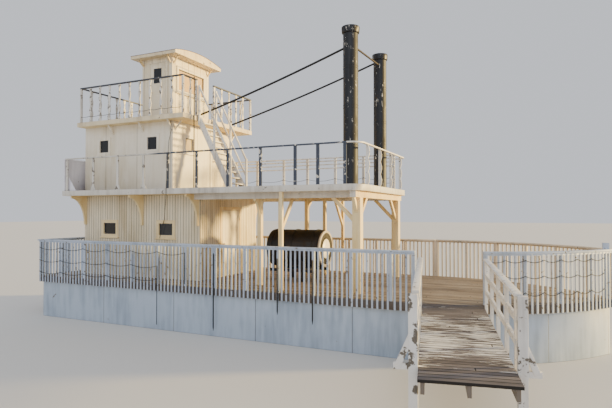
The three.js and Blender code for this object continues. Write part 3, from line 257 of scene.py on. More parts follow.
def node(tree, kind, inputs=None, stops=(), **settings):
    """Adds one node with its settings, its inputs, and the places of its ramp's black and white.
    Mix takes its colours at 6 and 7 and gives one at output 2."""
    made = tree.nodes.new("ShaderNode" + kind)
    for key, value in settings.items():
        setattr(made, key, value)
    for number, position in enumerate(stops):
        made.color_ramp.elements[number].position = position
    feed(made, inputs or {})
    return made


def blank(name):
    """A new material, its shader, the object's own coordinates in metres, and node on its tree."""
    material = bpy.data.materials.new(name)
    material.use_nodes = True
    add = partial(node, material.node_tree)
    shader = material.node_tree.nodes["Principled BSDF"]
    return material, shader, add("TexCoord").outputs["Object"], add


def painted_timber(name, paint, grime, bare, flaked, patch, seam=None, board=None, forward=None):
    """Brushed oil paint on pine that has stood outside: the eye sees a chalky coat, rain streaks
    under the ledges, and patches down to grey wood. patch is in flakes a metre, seam the pitch in
    metres of the joints between sheets, and board that of boards which each took the paint a
    little differently. forward is the coat's and the flakes' colours ahead of x = -3.5."""
    material, shader, place, add = blank(name)
    axes = add("SeparateXYZ", {0: place})
    run = add("Math", {0: axes.outputs[0], 1: axes.outputs[1]}, operation="ADD")
    wide = add("TexNoise", {"Vector": place, "Scale": 0.9, "Detail": 3.0})
    streaked = add("Mapping", {"Vector": place, "Scale": (7, 7, 0.8)})
    rain = add("TexNoise", {"Vector": streaked, "Scale": 1.0, "Detail": 6.0, "Roughness": 0.6})
    dirt = add("Math", {0: wide, 1: rain}, operation="MULTIPLY")
    if board:
        place_in = add("Math", {0: run, 1: board}, operation="DIVIDE")
        number = add("Math", {0: place_in}, operation="FLOOR")
        chance = add("TexWhiteNoise", {"W": number}, noise_dimensions="1D")
        dirt = add("Math", {0: chance, 1: 0.12, 2: dirt}, operation="MULTIPLY_ADD")
    dirty = add("ValToRGB", {"Fac": dirt}, (0.2, 0.48))
    coat = add("Mix", {0: dirty, 6: srgb(paint), 7: srgb(grime)}, data_type="RGBA").outputs[2]
    chips = add("TexNoise", {"Vector": place, "Scale": patch, "Detail": 8.0, "Roughness": 0.62})
    edge = 0.74 - 0.24 * flaked
    lost = add("ValToRGB", {"Fac": chips}, (edge, edge + 0.02))
    fibre = add("TexNoise", {"Vector": streaked, "Scale": 14.0, "Detail": 4.0})
    wood = add("Mix", {0: fibre, 6: srgb(bare), 7: srgb("#8d8375")}, data_type="RGBA").outputs[2]
    # Ahead of x = -3.5 the coat and flakes change colour; on the upper rail the darker coat is
    # partly painted shade
    if forward:
        ahead = add("MapRange", {"Value": axes.outputs[0], "From Min": -3.7, "From Max": -3.3})
        coat, wood = (
            add("Mix", {0: ahead, 6: aft, 7: srgb(fore)}, data_type="RGBA").outputs[2]
            for aft, fore in zip((coat, wood), forward))
    colour = add("Mix", {0: lost, 6: coat, 7: wood}, data_type="RGBA").outputs[2]
    relief = add("Math", {0: fibre, 1: 0.25}, operation="MULTIPLY")
    height = add("Math", {0: lost, 1: -0.5, 2: relief}, operation="MULTIPLY_ADD")
    if seam:
        wave = add("Math", {0: run, 1: seam / 2}, operation="PINGPONG")
        joint = add("MapRange", {"Value": wave, "From Min": 0.003, "From Max": 0.009},
                    interpolation_type="SMOOTHSTEP")
        colour = add("Mix", {0: joint, 6: srgb(bare), 7: colour}, data_type="RGBA").outputs[2]
        height = add("Math", {0: joint, 1: 4.0, 2: height}, operation="MULTIPLY_ADD")
    bump = add("Bump", {"Height": height, "Distance": 0.0016, "Strength": 0.9})
    rough = add("Math", {0: lost, 1: 0.3, 2: 0.52}, operation="MULTIPLY_ADD")
    feed(shader, {"Base Color": colour, "Roughness": rough, "Normal": bump})
    return material


def planking(name, light, dark, gap, width, length, yaw=0.0, worn=None, origin=(0, 0, 0)):
    """Sawn deck planks, bare and walked on: each plank has its own tone, long grain and a dark
    gap, with butt joints that step from plank to plank. width and length are a plank's, in metres.
    worn is the colour of what paint is left on a walkway: at its sides, from 0.6 m out from the
    boat, and none on the last planks, from 4.1 m out."""
    material, shader, place, add = blank(name)
    centred = add("Mapping", {"Vector": place, "Location": origin, "Rotation": (0, 0, yaw)},
                  vector_type="TEXTURE")
    along, across, _ = add("SeparateXYZ", {0: centred}).outputs
    place_in = add("Math", {0: across, 1: width}, operation="DIVIDE")
    number = add("Math", {0: place_in}, operation="FLOOR")
    chance = add("TexWhiteNoise", {"W": number}, noise_dimensions="1D")
    shifted = add("Math", {0: chance, 1: length * 3, 2: along}, operation="MULTIPLY_ADD")
    spread = add("CombineXYZ", {0: shifted, 1: across, 2: chance})
    drawn = add("Mapping", {"Vector": spread, "Scale": (1.4, 30, 9)})
    grain = add("TexNoise", {"Vector": drawn, "Scale": 1.0, "Detail": 7.0, "Roughness": 0.65})
    blotch = add("TexNoise", {"Vector": place, "Scale": 1.6, "Detail": 5.0})
    faded = add("Math", {0: blotch, 1: 0.7, 2: -0.65}, operation="MULTIPLY_ADD")
    grown = add("Math", {0: grain, 1: 0.9, 2: faded}, operation="MULTIPLY_ADD")
    tone = add("Math", {0: chance, 1: 0.45, 2: grown}, operation="MULTIPLY_ADD", use_clamp=True)
    colour = add("Mix", {0: tone, 6: srgb(dark), 7: srgb(light)}, data_type="RGBA").outputs[2]
    side = add("Math", {0: across, 1: width / 2}, operation="PINGPONG")
    butt = add("Math", {0: shifted, 1: length / 2}, operation="PINGPONG")
    near = add("Math", {0: side, 1: butt}, operation="MINIMUM")
    joint = add("MapRange", {"Value": near, "From Min": gap / 2, "From Max": gap / 2 + 0.005})
    colour = add("Mix", {0: joint, 6: srgb("#1d1712"), 7: colour}, data_type="RGBA").outputs[2]
    if worn:
        flakes = add("Mapping", {"Vector": centred, "Scale": (2.2, 26, 1)})
        chips = add("TexNoise", {"Vector": flakes, "Scale": 1.0, "Detail": 8.0, "Roughness": 0.6})
        aside = add("Math", {0: along}, operation="ABSOLUTE")
        out = add("Math", {0: across}, operation="ABSOLUTE")
        trodden, begun, ended = (
            add("MapRange", {"Value": value, "From Min": low, "From Max": high,
                             "To Min": first, "To Max": last})
            for value, low, high, first, last in (
                (aside, 0.15, 0.6, -0.03, 0.06), (out, 0.6, 1.6, -0.1, 0.0),
                (out, 4.08, 4.12, 0.0, -1.0)))
        weather = add("TexNoise", {"Vector": place, "Scale": 0.9})
        whole = chips
        for part, share in ((weather, 0.5), (trodden, 1.0), (begun, 1.0), (ended, 1.0)):
            whole = add("Math", {0: part, 1: share, 2: whole}, operation="MULTIPLY_ADD")
        left = add("ValToRGB", {"Fac": whole}, (0.795, 0.815))
        shown = add("Math", {0: left, 1: joint}, operation="MULTIPLY")
        colour = add("Mix", {0: shown, 6: colour, 7: srgb(worn)}, data_type="RGBA").outputs[2]
    height = add("Math", {0: joint, 1: 3.0, 2: grain}, operation="MULTIPLY_ADD")
    bump = add("Bump", {"Height": height, "Distance": 0.002, "Strength": 0.8})
    feed(shader, {"Base Color": colour, "Roughness": 0.82, "Normal": bump})
    return material


def painted_iron(name, paint, chipped, rust, chips_at, gloss):
    """Rolled plate under enamel that has chipped: a low sheen, nicks and rust blooms."""
    material, shader, place, add = blank(name)
    drawn = add("Mapping", {"Vector": place, "Scale": (9, 9, 2.2)})
    nicks = add("TexNoise", {"Vector": drawn, "Scale": 2.2, "Detail": 9.0, "Roughness": 0.68})
    gone = add("ValToRGB", {"Fac": nicks}, (chips_at, chips_at + 0.015))
    bloom = add("TexNoise", {"Vector": drawn, "Scale": 0.5, "Detail": 6.0})
    rusty = add("ValToRGB", {"Fac": bloom}, (0.5, 0.72))
    coat = add("Mix", {0: rusty, 6: srgb(paint), 7: srgb(rust)}, data_type="RGBA").outputs[2]
    colour = add("Mix", {0: gone, 6: coat, 7: srgb(chipped)}, data_type="RGBA").outputs[2]
    rough = add("Math", {0: rusty, 1: 0.35, 2: gloss}, operation="MULTIPLY_ADD")
    height = add("Math", {0: gone, 1: -1.0, 2: nicks}, operation="MULTIPLY_ADD")
    bump = add("Bump", {"Height": height, "Distance": 0.0012, "Strength": 0.6})
    feed(shader, {"Base Color": colour, "Roughness": rough, "Normal": bump})
    return material


def roofing_felt(name):
    """Mineral roofing felt: grit too fine to show is drawn at 12 mm, and the laps between the
    strips at 0.9 m."""
    material, shader, place, add = blank(name)
    grit = add("TexNoise", {"Vector": place, "Scale": 80.0, "Detail": 3.0})
    faded = add("TexNoise", {"Vector": place, "Scale": 2.0, "Detail": 5.0})
    colour = add("Mix", {0: faded, 6: srgb("#3a1f18"), 7: srgb("#74493a")}, data_type="RGBA")
    wave = add("Math", {0: add("SeparateXYZ", {0: place}), 1: 0.45}, operation="PINGPONG")
    lap = add("MapRange", {"Value": wave, "From Min": 0.0, "From Max": 0.02})
    height = add("Math", {0: lap, 1: 2.0, 2: grit}, operation="MULTIPLY_ADD")
    bump = add("Bump", {"Height": height, "Distance": 0.002})
    feed(shader, {"Base Color": colour.outputs[2], "Roughness": 0.9, "Normal": bump})
    return material


def plain_sheet(name, first, second, scale, rough, grainy=1.0):
    """A smooth sheet with one soft cloud of a second colour: glass, rubber, cotton or veneer."""
    material, shader, place, add = blank(name)
    drawn = add("Mapping", {"Vector": place, "Scale": (1, 1, grainy)})
    cloud = add("TexNoise", {"Vector": drawn, "Scale": scale, "Detail": 5.0})
    colour = add("Mix", {0: cloud, 6: srgb(first), 7: srgb(second)}, data_type="RGBA")
    bump = add("Bump", {"Height": cloud, "Distance": 0.0006})
    feed(shader, {"Base Color": colour.outputs[2], "Roughness": rough, "Normal": bump})
    return material


# Chalky white with grey wood at the flakes: stair and gangway rails
WHITE_PAINT = painted_timber(
    "oil paint on pine, white, flaking", "#ece8df", "#bdb2a4", "#4d4239", 0.5, 14.0)
# White in plates as wide as a hand, and nearly black wood between them
SHORE_PAINT = painted_timber(
    "oil paint on shore posts, white, chipped to dark wood",
    "#e4e1dc", "#a9a39c", "#1e1916", 0.72, 5.0)
# As much dark wood as thin white
BALUSTER_PAINT = painted_timber(
    "oil paint on sawn balusters, white and thin", "#e9e4da", "#a79f96", "#453e3a", 0.74, 11.0)
# Lit and shaded copies of one white paint: painted blue grey shade on the near side, and painted
# warm sunlight, cream, on the far side
RAIL_PAINT_IN_PAINTED_SHADE = painted_timber(
    "oil paint on rails and palings, painted blue grey shade", "#b9c3d2", "#8a96a6", "#463f39", 0.5, 10.0)
RAIL_PAINT_IN_PAINTED_SUN = painted_timber(
    "oil paint on rails and palings, painted cream sunlight", "#d9cbb4", "#a89a85", "#5f574f", 0.35, 10.0)
# Whitish with dark spots aft, and nearly black with pale flakes forward, where the dark is partly
# paint worn to grey and partly painted shade of the backlit rail
UPPER_RAIL_PAINT_AND_SHADE = painted_timber(
    "oil paint on the upper rail, worn", "#ddd8cd", "#9d978d", "#4a4038", 0.66, 9.0,
    forward=("#3a4252", "#d8d2c6"))
# Nearly black, rubbed to pale wood where hands hold it; on the window sashes the black is painted
# shade, so that they sink into the dark openings
DARK_CAP_AND_SHADED_SASH_PAINT = painted_timber(
    "oil paint on rail caps, dark and worn", "#3b3f49", "#2a2d35", "#b9ae9c", 0.5, 9.0)
# Pale and even, with a breath of violet, made lighter than its paint: painted light against the
# shade it stands in
STERN_PAINT_WITH_PAINTED_LIGHT = painted_timber(
    "oil paint on the stern panel, lavender with painted light", "#f1eff6", "#c4c1cd", "#6a6058", 0.25, 6.0)
# Off-white with broad grey spots, and cream with brown ones
FASCIA_PAINT = painted_timber(
    "oil paint on fascia boards, white and grimed", "#dcd6ca", "#a59c8f", "#5d554d", 0.35, 5.0)
EAVE_PAINT = painted_timber(
    "oil paint on eaves boards, cream", "#ead9b6", "#b9a482", "#5d4c3b", 0.35, 5.0)
# Dull dark grey brown on the main deck's edge: painted shade, the shadow behind the palings' feet
DECK_EDGE_IN_PAINTED_SHADE = painted_timber(
    "fir deck edge, dark with painted shade", "#5b4f44", "#3f372f", "#2d2722", 0.5, 6.0)
# Warm cream, each board a little lighter or darker than the next, and dark brown lines of painted
# shade in the grooves between
BOARD_PAINT = painted_timber(
    "oil paint on grooved boarding, cream",
    "#ecdfc2", "#cbb893", "#7a6a50", 0.12, 6.0, board=0.0951)
GROOVE_IN_PAINTED_SHADE = painted_timber(
    "painted shade in the grooves of the boarding", "#3a2c1d", "#281f15", "#1c150e", 0.2, 6.0)
# Smooth and bright, a dark joint every 1.2 m, and boards with one every 0.3 m
SHEET_PAINT = painted_timber(
    "oil paint on plywood sheets, cream", "#efe6d3", "#d8c9a9", "#8b7a5c", 0.06, 5.0, seam=1.2195)
CABIN_PAINT = painted_timber(
    "oil paint on jointed boards, cream", "#f0e4ca", "#d5c39c", "#8b7556", 0.1, 6.0, seam=0.305)
# Cream, spotted where rain runs off the mouldings
LEAF_PAINT = painted_timber(
    "oil paint on door leaves, cream", "#eee2c8", "#cdbd9a", "#7c6c54", 0.2, 8.0)
# Cream made golden by painted warm light, as of low sun bounced up under the decks, with honey
# brown in the streaks
FRAME_PAINT_IN_PAINTED_GLOW = painted_timber(
    "oil paint on posts and beams, cream in painted golden light", "#f0d9a4", "#cfa868", "#6f5c42", 0.25, 7.0)
# White paint with painted cool shade in it, a pale blue grey, streaked from the deck down, a joint
# every 2.4 m
HULL_PAINT_IN_PAINTED_SHADE = painted_timber(
    "oil paint on hull sheathing, painted blue grey shade",
    "#b3bfcd", "#8492a2", "#5f5a55", 0.18, 4.0, seam=2.4395)
# Brick red, half gone to grey oak
WHEEL_TIMBER = painted_timber(
    "oak wheel boards, weathered red paint", "#7c3a2c", "#5a2c22", "#4b423a", 0.5, 8.0)
# Black and dull, brown where the tar is thin
GUY_TIMBER = painted_timber("tar on ash poles, black", "#121110", "#1d1a17", "#4a3a2a", 0.3, 8.0)
# Grey and dry
BEARER_TIMBER = painted_timber(
    "fir bearers, bare and weathered", "#6f6459", "#4f473f", "#35302a", 0.4, 7.0)
# Tan planks with dark gaps below, and greyer ones above where the sun is stronger
DECK_PLANKS = planking("weathered fir decking", "#c4b193", "#6f5d49", 0.007, 0.14, 3.6)
UPPER_PLANKS = planking("weathered fir decking, upper", "#a99a88", "#6d6258", 0.006, 0.14, 3.6)
# Dark planks, white paint left in long flakes beside the trodden middle
GANGWAY_PLANKS = planking(
    "flaking paint on gangway planks", "#8f8580", "#453d3b", 0.012,
    GANGWAY["length"] / GANGWAY["planks"], 9.0, yaw=GANGWAY_YAW + pi / 2, worn="#e2ded7",
    origin=(GANGWAY_AT[0], GANGWAY_AT[1], 0))
# Blue black with a low shine and pale nicks all the way up
BLACK_ENAMEL = painted_iron(
    "enamel on rolled chimney plate, blue black", "#070a12", "#d6d1c6", "#14110f", 0.625, 0.5)
# Brown black and softly shining
BOILER_BLACK = painted_iron(
    "stove paint on boiler plate, dull black", "#131110", "#4b3d30", "#2c221a", 0.72, 0.5)
# Pale rim, dusty brown ring, and a glossier cream dome
RIM_PAINT = painted_iron(
    "paint on the front's rim, pale", "#cfc6b6", "#8f8579", "#a3927a", 0.66, 0.45)
PLATE_IRON = painted_iron(
    "cast front ring, dusty grey brown", "#241e19", "#6f6353", "#2e251d", 0.66, 0.7)
DOME_PAINT = painted_iron(
    "enamel on the boiler's dome, cream white", "#f3ecdc", "#b3a995", "#d8ccb5", 0.68, 0.35)
# Black, with a rust bloom and grey nicks
FITTINGS = painted_iron("forged fittings, black", "#191817", "#6d665c", "#4a2f1e", 0.72, 0.45)
# Dull brown all over
TIE_IRON = painted_iron(
    "wrought iron tie, rusty brown", "#2b231d", "#6a5845", "#3d2c20", 0.66, 0.6)
# Dull dark red, gritty, paler where it has faded
FELT = roofing_felt("mineral roofing felt, red brown")
# Nearly black and mirror smooth: painted shade of the unlit rooms behind; the forward deckhouse
# pane a little paler with a painted reflection of the sky
GLASS_IN_PAINTED_SHADE = plain_sheet("float glass, black with the painted shade of a dark room", "#050607", "#101316", 1.2, 0.06)
GLASS_WITH_PAINTED_SKY = plain_sheet("float glass with a painted reflection of the sky", "#07090a", "#363c41", 1.7, 0.06)
# Honey brown with fine upright grain under a soft gloss
BOARDED = plain_sheet("plywood infill, varnished", "#d0ac72", "#b08a55", 9.0, 0.5, 0.08)
# Cream, with brown stains a hand wide
BLIND = plain_sheet("cotton blind behind the pane, cream", "#d9cba8", "#8a6f4b", 3.0, 0.6)
# Black and without shine
RUBBER = plain_sheet("rubber sheathed wire, black", "#141313", "#26221f", 30.0, 0.55)


def by_direction(face):
    """0 for faces that look up, 1 for upright ones, 2 for those that look down."""
    return 0 if face.normal.z > 0.6 else 2 if face.normal.z < -0.6 else 1


def deck_faces(face):
    """As by_direction, with the uprights of the girders under the boiler deck's edge as 2."""
    under = face.calc_center_median().z < BOILER_TOP - 0.16
    return 2 if under else by_direction(face)


def behind_boards(face):
    """1 for the wall's outer face behind the upright boards, else 0."""
    middle = face.calc_center_median()
    off_side = abs(abs(middle.y) - CABIN_HALF)
    off_end = min(abs(middle.x - CABIN_AFT), abs(middle.x - DECKHOUSE_FORE))
    side = abs(face.normal.y) > 0.9 and off_side < 0.001
    return 1 if side or (abs(face.normal.x) > 0.9 and off_end < 0.001) else 0


# -------------------- hull, decks and cabins
planed("hull", [HULL_PAINT_IN_PAINTED_SHADE], edge=0.01)
# Faces that look down take the golden frame paint: painted warm light on the decks' undersides
planed("main_deck", [DECK_PLANKS, DECK_EDGE_IN_PAINTED_SHADE, FRAME_PAINT_IN_PAINTED_GLOW], pick=by_direction)
planed("boiler_deck", [UPPER_PLANKS, FASCIA_PAINT, FRAME_PAINT_IN_PAINTED_GLOW], pick=deck_faces)
planed("texas_deck", [UPPER_PLANKS, EAVE_PAINT, FRAME_PAINT_IN_PAINTED_GLOW], pick=by_direction)
# The deckhouse walls' faces behind the boards take painted shade, so that the grooves read dark
for wall in ("starboard", "port", "front", "aft"):
    planed("deckhouse_wall_" + wall, [FRAME_PAINT_IN_PAINTED_GLOW, GROOVE_IN_PAINTED_SHADE],
           pick=behind_boards)
    planed("texas_wall_" + wall, [SHEET_PAINT])
    planed("pilothouse_wall_" + wall, [CABIN_PAINT])
for door in ("deckhouse_door", "texas_door", "pilothouse_door"):
    planed(door, [LEAF_PAINT])
# Near side rails in painted shade, far side rails in painted sunlight
for side, coat in (("starboard", RAIL_PAINT_IN_PAINTED_SHADE), ("port", RAIL_PAINT_IN_PAINTED_SUN)):
    for post in ("front_post_", "mid_post_", "inner_frame_"):
        planed(post + side, [FRAME_PAINT_IN_PAINTED_GLOW], edge=0.006)
    for rail in ("main_rail_", "bow_rail_"):
        planed(rail + side, [coat], edge=0.002)
    planed("stair_handrail_" + side, [WHITE_PAINT], edge=0.002)
    planed("wheel_timber_" + side, [WHEEL_TIMBER], edge=0.006)
for name, coat, edge in (
        ("boiler_rail_starboard", UPPER_RAIL_PAINT_AND_SHADE, 0.002),
        ("boiler_rail_stern", STERN_PAINT_WITH_PAINTED_LIGHT, 0.003), ("boiler_rail_port", WHITE_PAINT, 0.002),
        ("main_rail_stern", RAIL_PAINT_IN_PAINTED_SHADE, 0.003), ("gangway_rail_return", RAIL_PAINT_IN_PAINTED_SHADE, 0.003),
        ("texas_stair", WHITE_PAINT, 0.003), ("gangway_handrail_fore", WHITE_PAINT, 0.003),
        ("gangway_handrail_aft", WHITE_PAINT, 0.003),
        ("gangway_post_fore", SHORE_PAINT, 0.006), ("gangway_post_aft", SHORE_PAINT, 0.006)):
    planed(name, [coat], edge)
planed("boiler_cradle", [FITTINGS])


# -------------------- rails of sawn balusters
def baluster_run(name, start, along, length, count, newels, stands_for):
    """A top rail, newels at the ends asked for, and balusters evenly spaced between them."""
    start, yaw = np.array([*start, 0.0]), float(np.arctan2(along[1], along[0]))
    newel, cap = 0.06, 0.038
    foot, under = TEXAS_TOP + SEAT, TEXAS_TOP + 1.016
    reach = newel / 2 + (length - newel) * (np.arange(count) + 1) / (count + 1)
    shapes = [sawn(start[:2] + along[:2] * reach[:, None], foot, under, yaw)]
    for wanted, place in zip(newels, (newel / 2, length - newel / 2)):
        if wanted:
            base = start + along * place
            shapes.append(timbers(base + Z * foot, base + Z * under, newel, newel, up=along,
                                  edge=0.006))
    piece(name, many(shapes), BALUSTER_PAINT, stands_for=stands_for)
    end = start + Z * (under + cap / 2)
    piece(name + "_top", timbers(end, end + along * length, newel, cap), DARK_CAP_AND_SHADED_SASH_PAINT)


for name, *run in (
        ("starboard", (-6.6, -1.75), X, 3.88, 9, (True, True)),
        ("port", (-6.6, 1.75), X, 3.88, 9, (True, True)),
        ("aft", (-6.57, -1.7197), Y, 3.4394, 9, (False, False)),
        ("front_port", (-2.75, -0.34), Y, 2.0597, 4, (True, False)),
        ("front_starboard", (-2.75, -1.7197), Y, 0.5897, 1, (False, True))):
    baluster_run("texas_balusters_" + name, *run, "texas_rail_" + name)


def boiler_front_rail():
    """The top rail follows the deck's rounded corners: two quarter circles of radius 305 mm joined
    by a straight, and stands on four balusters with lobed outer edges."""
    turn = np.linspace(0, pi / 2, 9)
    radius, x, y = 0.305, 2.1, 1.75
    level, under = BOILER_TOP + 0.948, BOILER_TOP + 0.932
    quarter = np.stack([x + radius * np.sin(turn), y + radius * np.cos(turn)], axis=-1)
    path = np.concatenate([quarter * [1, -1], quarter[::-1]])
    path = np.column_stack([path, np.full(len(path), level)])
    path[0, 0] = path[-1, 0] = x + SEAT
    middles = [(x + radius, value) for value in (-1.47, -0.49, 0.49, 1.47)]
    return many([carried(eased(0.06, 0.034, 0.004), path),
                 sawn(middles, BOILER_TOP + SEAT, under, 0.0, outer=True)])


piece("boiler_front_balusters", boiler_front_rail(), WHITE_PAINT,
      stands_for="boiler_rail_front")

# Laths on the inner faces of the port posts
laths = np.array([(-6.84, 2.032, BOILER_TOP + high) for high in (0.98, 0.87, 0.75)])
piece("port_rail_laths", timbers(laths, laths + X * 8.93, 0.02, 0.035), WHITE_PAINT)


# -------------------- boarding, doors and roof
def boarding(start, along, outward, length, holes):
    """Upright boards 82 mm wide and 9 mm thick at about 95 mm, left out across each hole, given
    as middle, half width, foot and head."""
    bottom, top, thick, groove, sliver = MAIN_TOP + 0.003, 3.557, 0.009, 0.013, 0.02
    count = round(length / 0.095)
    pitch = length / count
    feet, heads = [], []
    for number in range(count):
        middle = (number + 0.5) * pitch
        spans = [(bottom, top)]
        for at, half, foot, head in holes:
            if abs(middle - at) < half + pitch / 2:
                spans = [(bottom, foot), (head, top)]
        for low, high in spans:
            if high - low > sliver:
                base = start + along * middle + outward * 0.004
                feet.append(base + Z * low)
                heads.append(base + Z * high)
    return timbers(feet, heads, thick, pitch - groove, up=along, edge=0.0025)


# How far forward of the cabin's aft wall the deckhouse windows stand, and their middle's height
WINDOWS_AT, WINDOW_Z = (1.04, 3.15), MAIN_TOP + 1.39
side_holes = [(at, 0.24, WINDOW_Z - 0.2, WINDOW_Z + 0.2) for at in WINDOWS_AT]
for name, x, y, along, outward, length, holes in (
        ("starboard", CABIN_AFT, -CABIN_HALF, X, -Y, DECKHOUSE_LONG, side_holes),
        ("port", CABIN_AFT, CABIN_HALF, X, Y, DECKHOUSE_LONG, side_holes),
        ("front", DECKHOUSE_FORE, -CABIN_HALF, Y, X, CABIN_WIDE, [(1.48, 0.46, 1.2, 3.18)]),
        ("aft", CABIN_AFT, -CABIN_HALF, Y, -X, CABIN_WIDE, [])):
    piece("deckhouse_boarding_" + name, boarding((x, y, 0), along, outward, length, holes),
          BOARD_PAINT)


def raised_panels(middle, along, outward, width, spans):
    """Fielded panels on a door, between the heights of each span: each is a low frustum, 24 mm in
    from its edge to its field."""
    shapes = []
    for low, high in spans:
        centre = middle + Z * (low + high) / 2
        rings = []
        for inset, proud in ((0, -0.002), (0, 0.003), (0.024, 0.009)):
            w, h = width / 2 - inset, (high - low) / 2 - inset
            rings.append([centre + along * a + Z * b + outward * proud
                          for a, b in ((-w, -h), (w, -h), (w, h), (-w, h))])
        shapes.append(skin(rings))
    return many(shapes)


for door, *panels in (
        ("deckhouse_door", (-2.338, 0, 0), Y, X, 0.6, [(1.36, 2.0), (2.24, 3.0)]),
        ("texas_door", (-3.288, 0.7, 0), Y, X, 0.36, [(3.85, 4.5), (4.72, 5.4)]),
        ("pilothouse_door", (-4.354, -0.922, 0), X, -Y, 0.3, [(5.88, 6.58)])):
    piece(door + "_panels", raised_panels(*panels), LEAF_PAINT, body=door)

ROOF = {"aft": -5.21, "fore": -3.5, "half": 1.15, "base": TEXAS_TOP + 1.9203, "edge": 0.1,
        "rise": 0.15, "felt": 0.012}


def cambered(inset, under, over):
    """A slab over the pilothouse: under and over give its faces' heights from y, and it stops
    inset short of the roof's outline."""
    y = np.linspace(-ROOF["half"] + inset, ROOF["half"] - inset, 25)
    section = np.concatenate([np.stack([y, under(y)], axis=-1),
                              np.stack([y, over(y)], axis=-1)[::-1]])
    return skin([np.insert(section, 0, x, axis=1)
                 for x in (ROOF["aft"] + inset, ROOF["fore"] - inset)])


def camber(y, drop=0.0):
    """Height of the roof's top: a parabola over the beam."""
    arch = ROOF["rise"] * (1 - (y / ROOF["half"]) ** 2)
    return ROOF["base"] - SEAT + ROOF["edge"] + arch - drop


under_felt = partial(camber, drop=ROOF["felt"])
piece("roof_boards", cambered(0.006, lambda y: 0 * y + ROOF["base"], under_felt), EAVE_PAINT,
      stands_for="pilothouse_roof")
piece("roof_felt_sheet", cambered(0.0, under_felt, camber), FELT)

# Struts under the eaves, at both ends of each wall: where each stands, and which way it leans
eaves = [((x, way * 0.9), (0, way * 0.16)) for x in (-4.9, -3.88) for way in (-1, 1)]
eaves += [((x, y), (way * 0.16, 0)) for x, way in ((-3.82, 1), (-4.96, -1)) for y in (-0.84, 0.84)]
feet = np.array([(*at, TEXAS_TOP + 1.72) for at, _ in eaves])
piece("eave_struts", timbers(feet, feet + [(*lean, 0.195) for _, lean in eaves], 0.032, 0.032),
      FRAME_PAINT_IN_PAINTED_GLOW)


# -------------------- gangway planks
def on_gangway(shape):
    """A shape in the gangway's own frame, X out from the boat: turned, and sheared to its fall."""
    points, polygons = shape
    fall = points[:, :1] * GANGWAY["fall"] / GANGWAY["length"]
    return laid((points - Z * fall, polygons), GANGWAY_AT, GANGWAY_YAW)


def gangway_boards():
    """Planks across the walkway, side by side with 8 mm gaps; each crowns by up to 3 mm and its
    ends stop within 6 mm of a line. The plank nearest the boat is cut to the bow's curve."""
    chance = np.random.default_rng(7)
    width, thick = GANGWAY["length"] / GANGWAY["planks"], GANGWAY["thick"]
    across = np.linspace(-1, 1, 9)
    shapes = []
    for number in range(GANGWAY["planks"]):
        ends = GANGWAY["width"] / 2 - chance.uniform(0.0, 0.006, 2)
        crown = chance.uniform(0.0, 0.003) * across ** 2
        path = np.column_stack([np.full_like(across, (number + 0.5) * width),
                                np.linspace(-ends[0], ends[1], across.size),
                                -crown - thick / 2 - 0.001])
        if number == 0:
            path[:, 0] += 0.012 * (1 - across)
        shapes.append(carried(eased(width - 0.008, thick - 0.002, 0.004), path))
    return on_gangway(many(shapes))


piece("gangway_boards", gangway_boards(), GANGWAY_PLANKS,
      stands_for="gangway_deck")
# Three bearers on edge, set back from the last plank's edge
bearer = np.array([(0.16, y, -0.115) for y in (-0.54, 0, 0.54)])
piece("gangway_bearers", on_gangway(timbers(bearer, bearer + X * 4.37, 0.05, 0.15)),
      BEARER_TIMBER)


# -------------------- chimneys, stays and boiler
CHIMNEY = {"x": 1.89, "y": 1.22, "radius": 0.182, "bore": 0.17, "height": 3.86,
           "joints": (0.95, 1.91, 2.87)}


def chimney(side):
    """A plate pipe turned from its outline: flanged foot, a flared lip with a rolled edge, and the
    bore back down inside, with a row of rivets 30 mm either side of each plate joint."""
    r, b, h = CHIMNEY["radius"], CHIMNEY["bore"], CHIMNEY["height"]
    outline = [(r + 0.06, SEAT), (r + 0.06, 0.025), (r + 0.006, 0.034), (r, 0.05), (r, h - 0.175),
               (r + 0.012, h - 0.168), (r + 0.03, h - 0.15), (r + 0.035, h - 0.1),
               (r + 0.038, h - 0.06), (r + 0.038, h - 0.012), (r + 0.032, h - 0.002),
               (b + 0.03, h), (b, h - 0.08), (b, 0.03)]
    out, ahead = spokes(18, 2)
    shapes = [revolved(outline)]
    shapes += [rivets(out * r + Z * (joint + step), out, ahead, 0.011, 0.007)
               for joint in CHIMNEY["joints"] for step in (-0.03, 0.03)]
    shapes.append(rivets(out[::3] * (r + 0.034) + Z * 0.026, Z, X, 0.013, 0.01))
    return laid(many(shapes), (CHIMNEY["x"], side * CHIMNEY["y"], BOILER_TOP))


# Each guy's height on its chimney, and its foot on the texas deck. It stops 176 mm from the
# chimney's middle, inside the plate, and sags by 50 mm.
for name, side, top, foot in (("starboard", -1, 3.415, (-3.06, -0.92)),
                              ("port", 1, 3.685, (-2.86, 0.665))):
    piece("chimney_pipe_" + name, chimney(side), BLACK_ENAMEL,
          stands_for="chimney_" + name)
    start = np.array([*foot, TEXAS_TOP + 0.012])
    span = np.array([CHIMNEY["x"], side * CHIMNEY["y"], BOILER_TOP + top]) - start
    span = span * (1 - 0.176 / np.linalg.norm(span))
    part = np.linspace(0, 1, 25)[:, None]
    line = start + span * part - Z * 0.2 * part * (1 - part)
    plate = timbers(start - [0.05, 0, 0.007], start + [0.05, 0, -0.007], 0.07, 0.008)
    piece("chimney_guy_" + name, many([carried(ring(0.027), line), plate]), GUY_TIMBER,
          stands_for="chimney_stay_" + name)
tie = [(CHIMNEY["x"], -1.045, BOILER_TOP + 3.457), (CHIMNEY["x"], 1.045, BOILER_TOP + 3.543)]
piece("chimney_spreader", carried(ring(0.026), np.linspace(*tie, 5)), TIE_IRON,
      stands_for="chimney_tie")

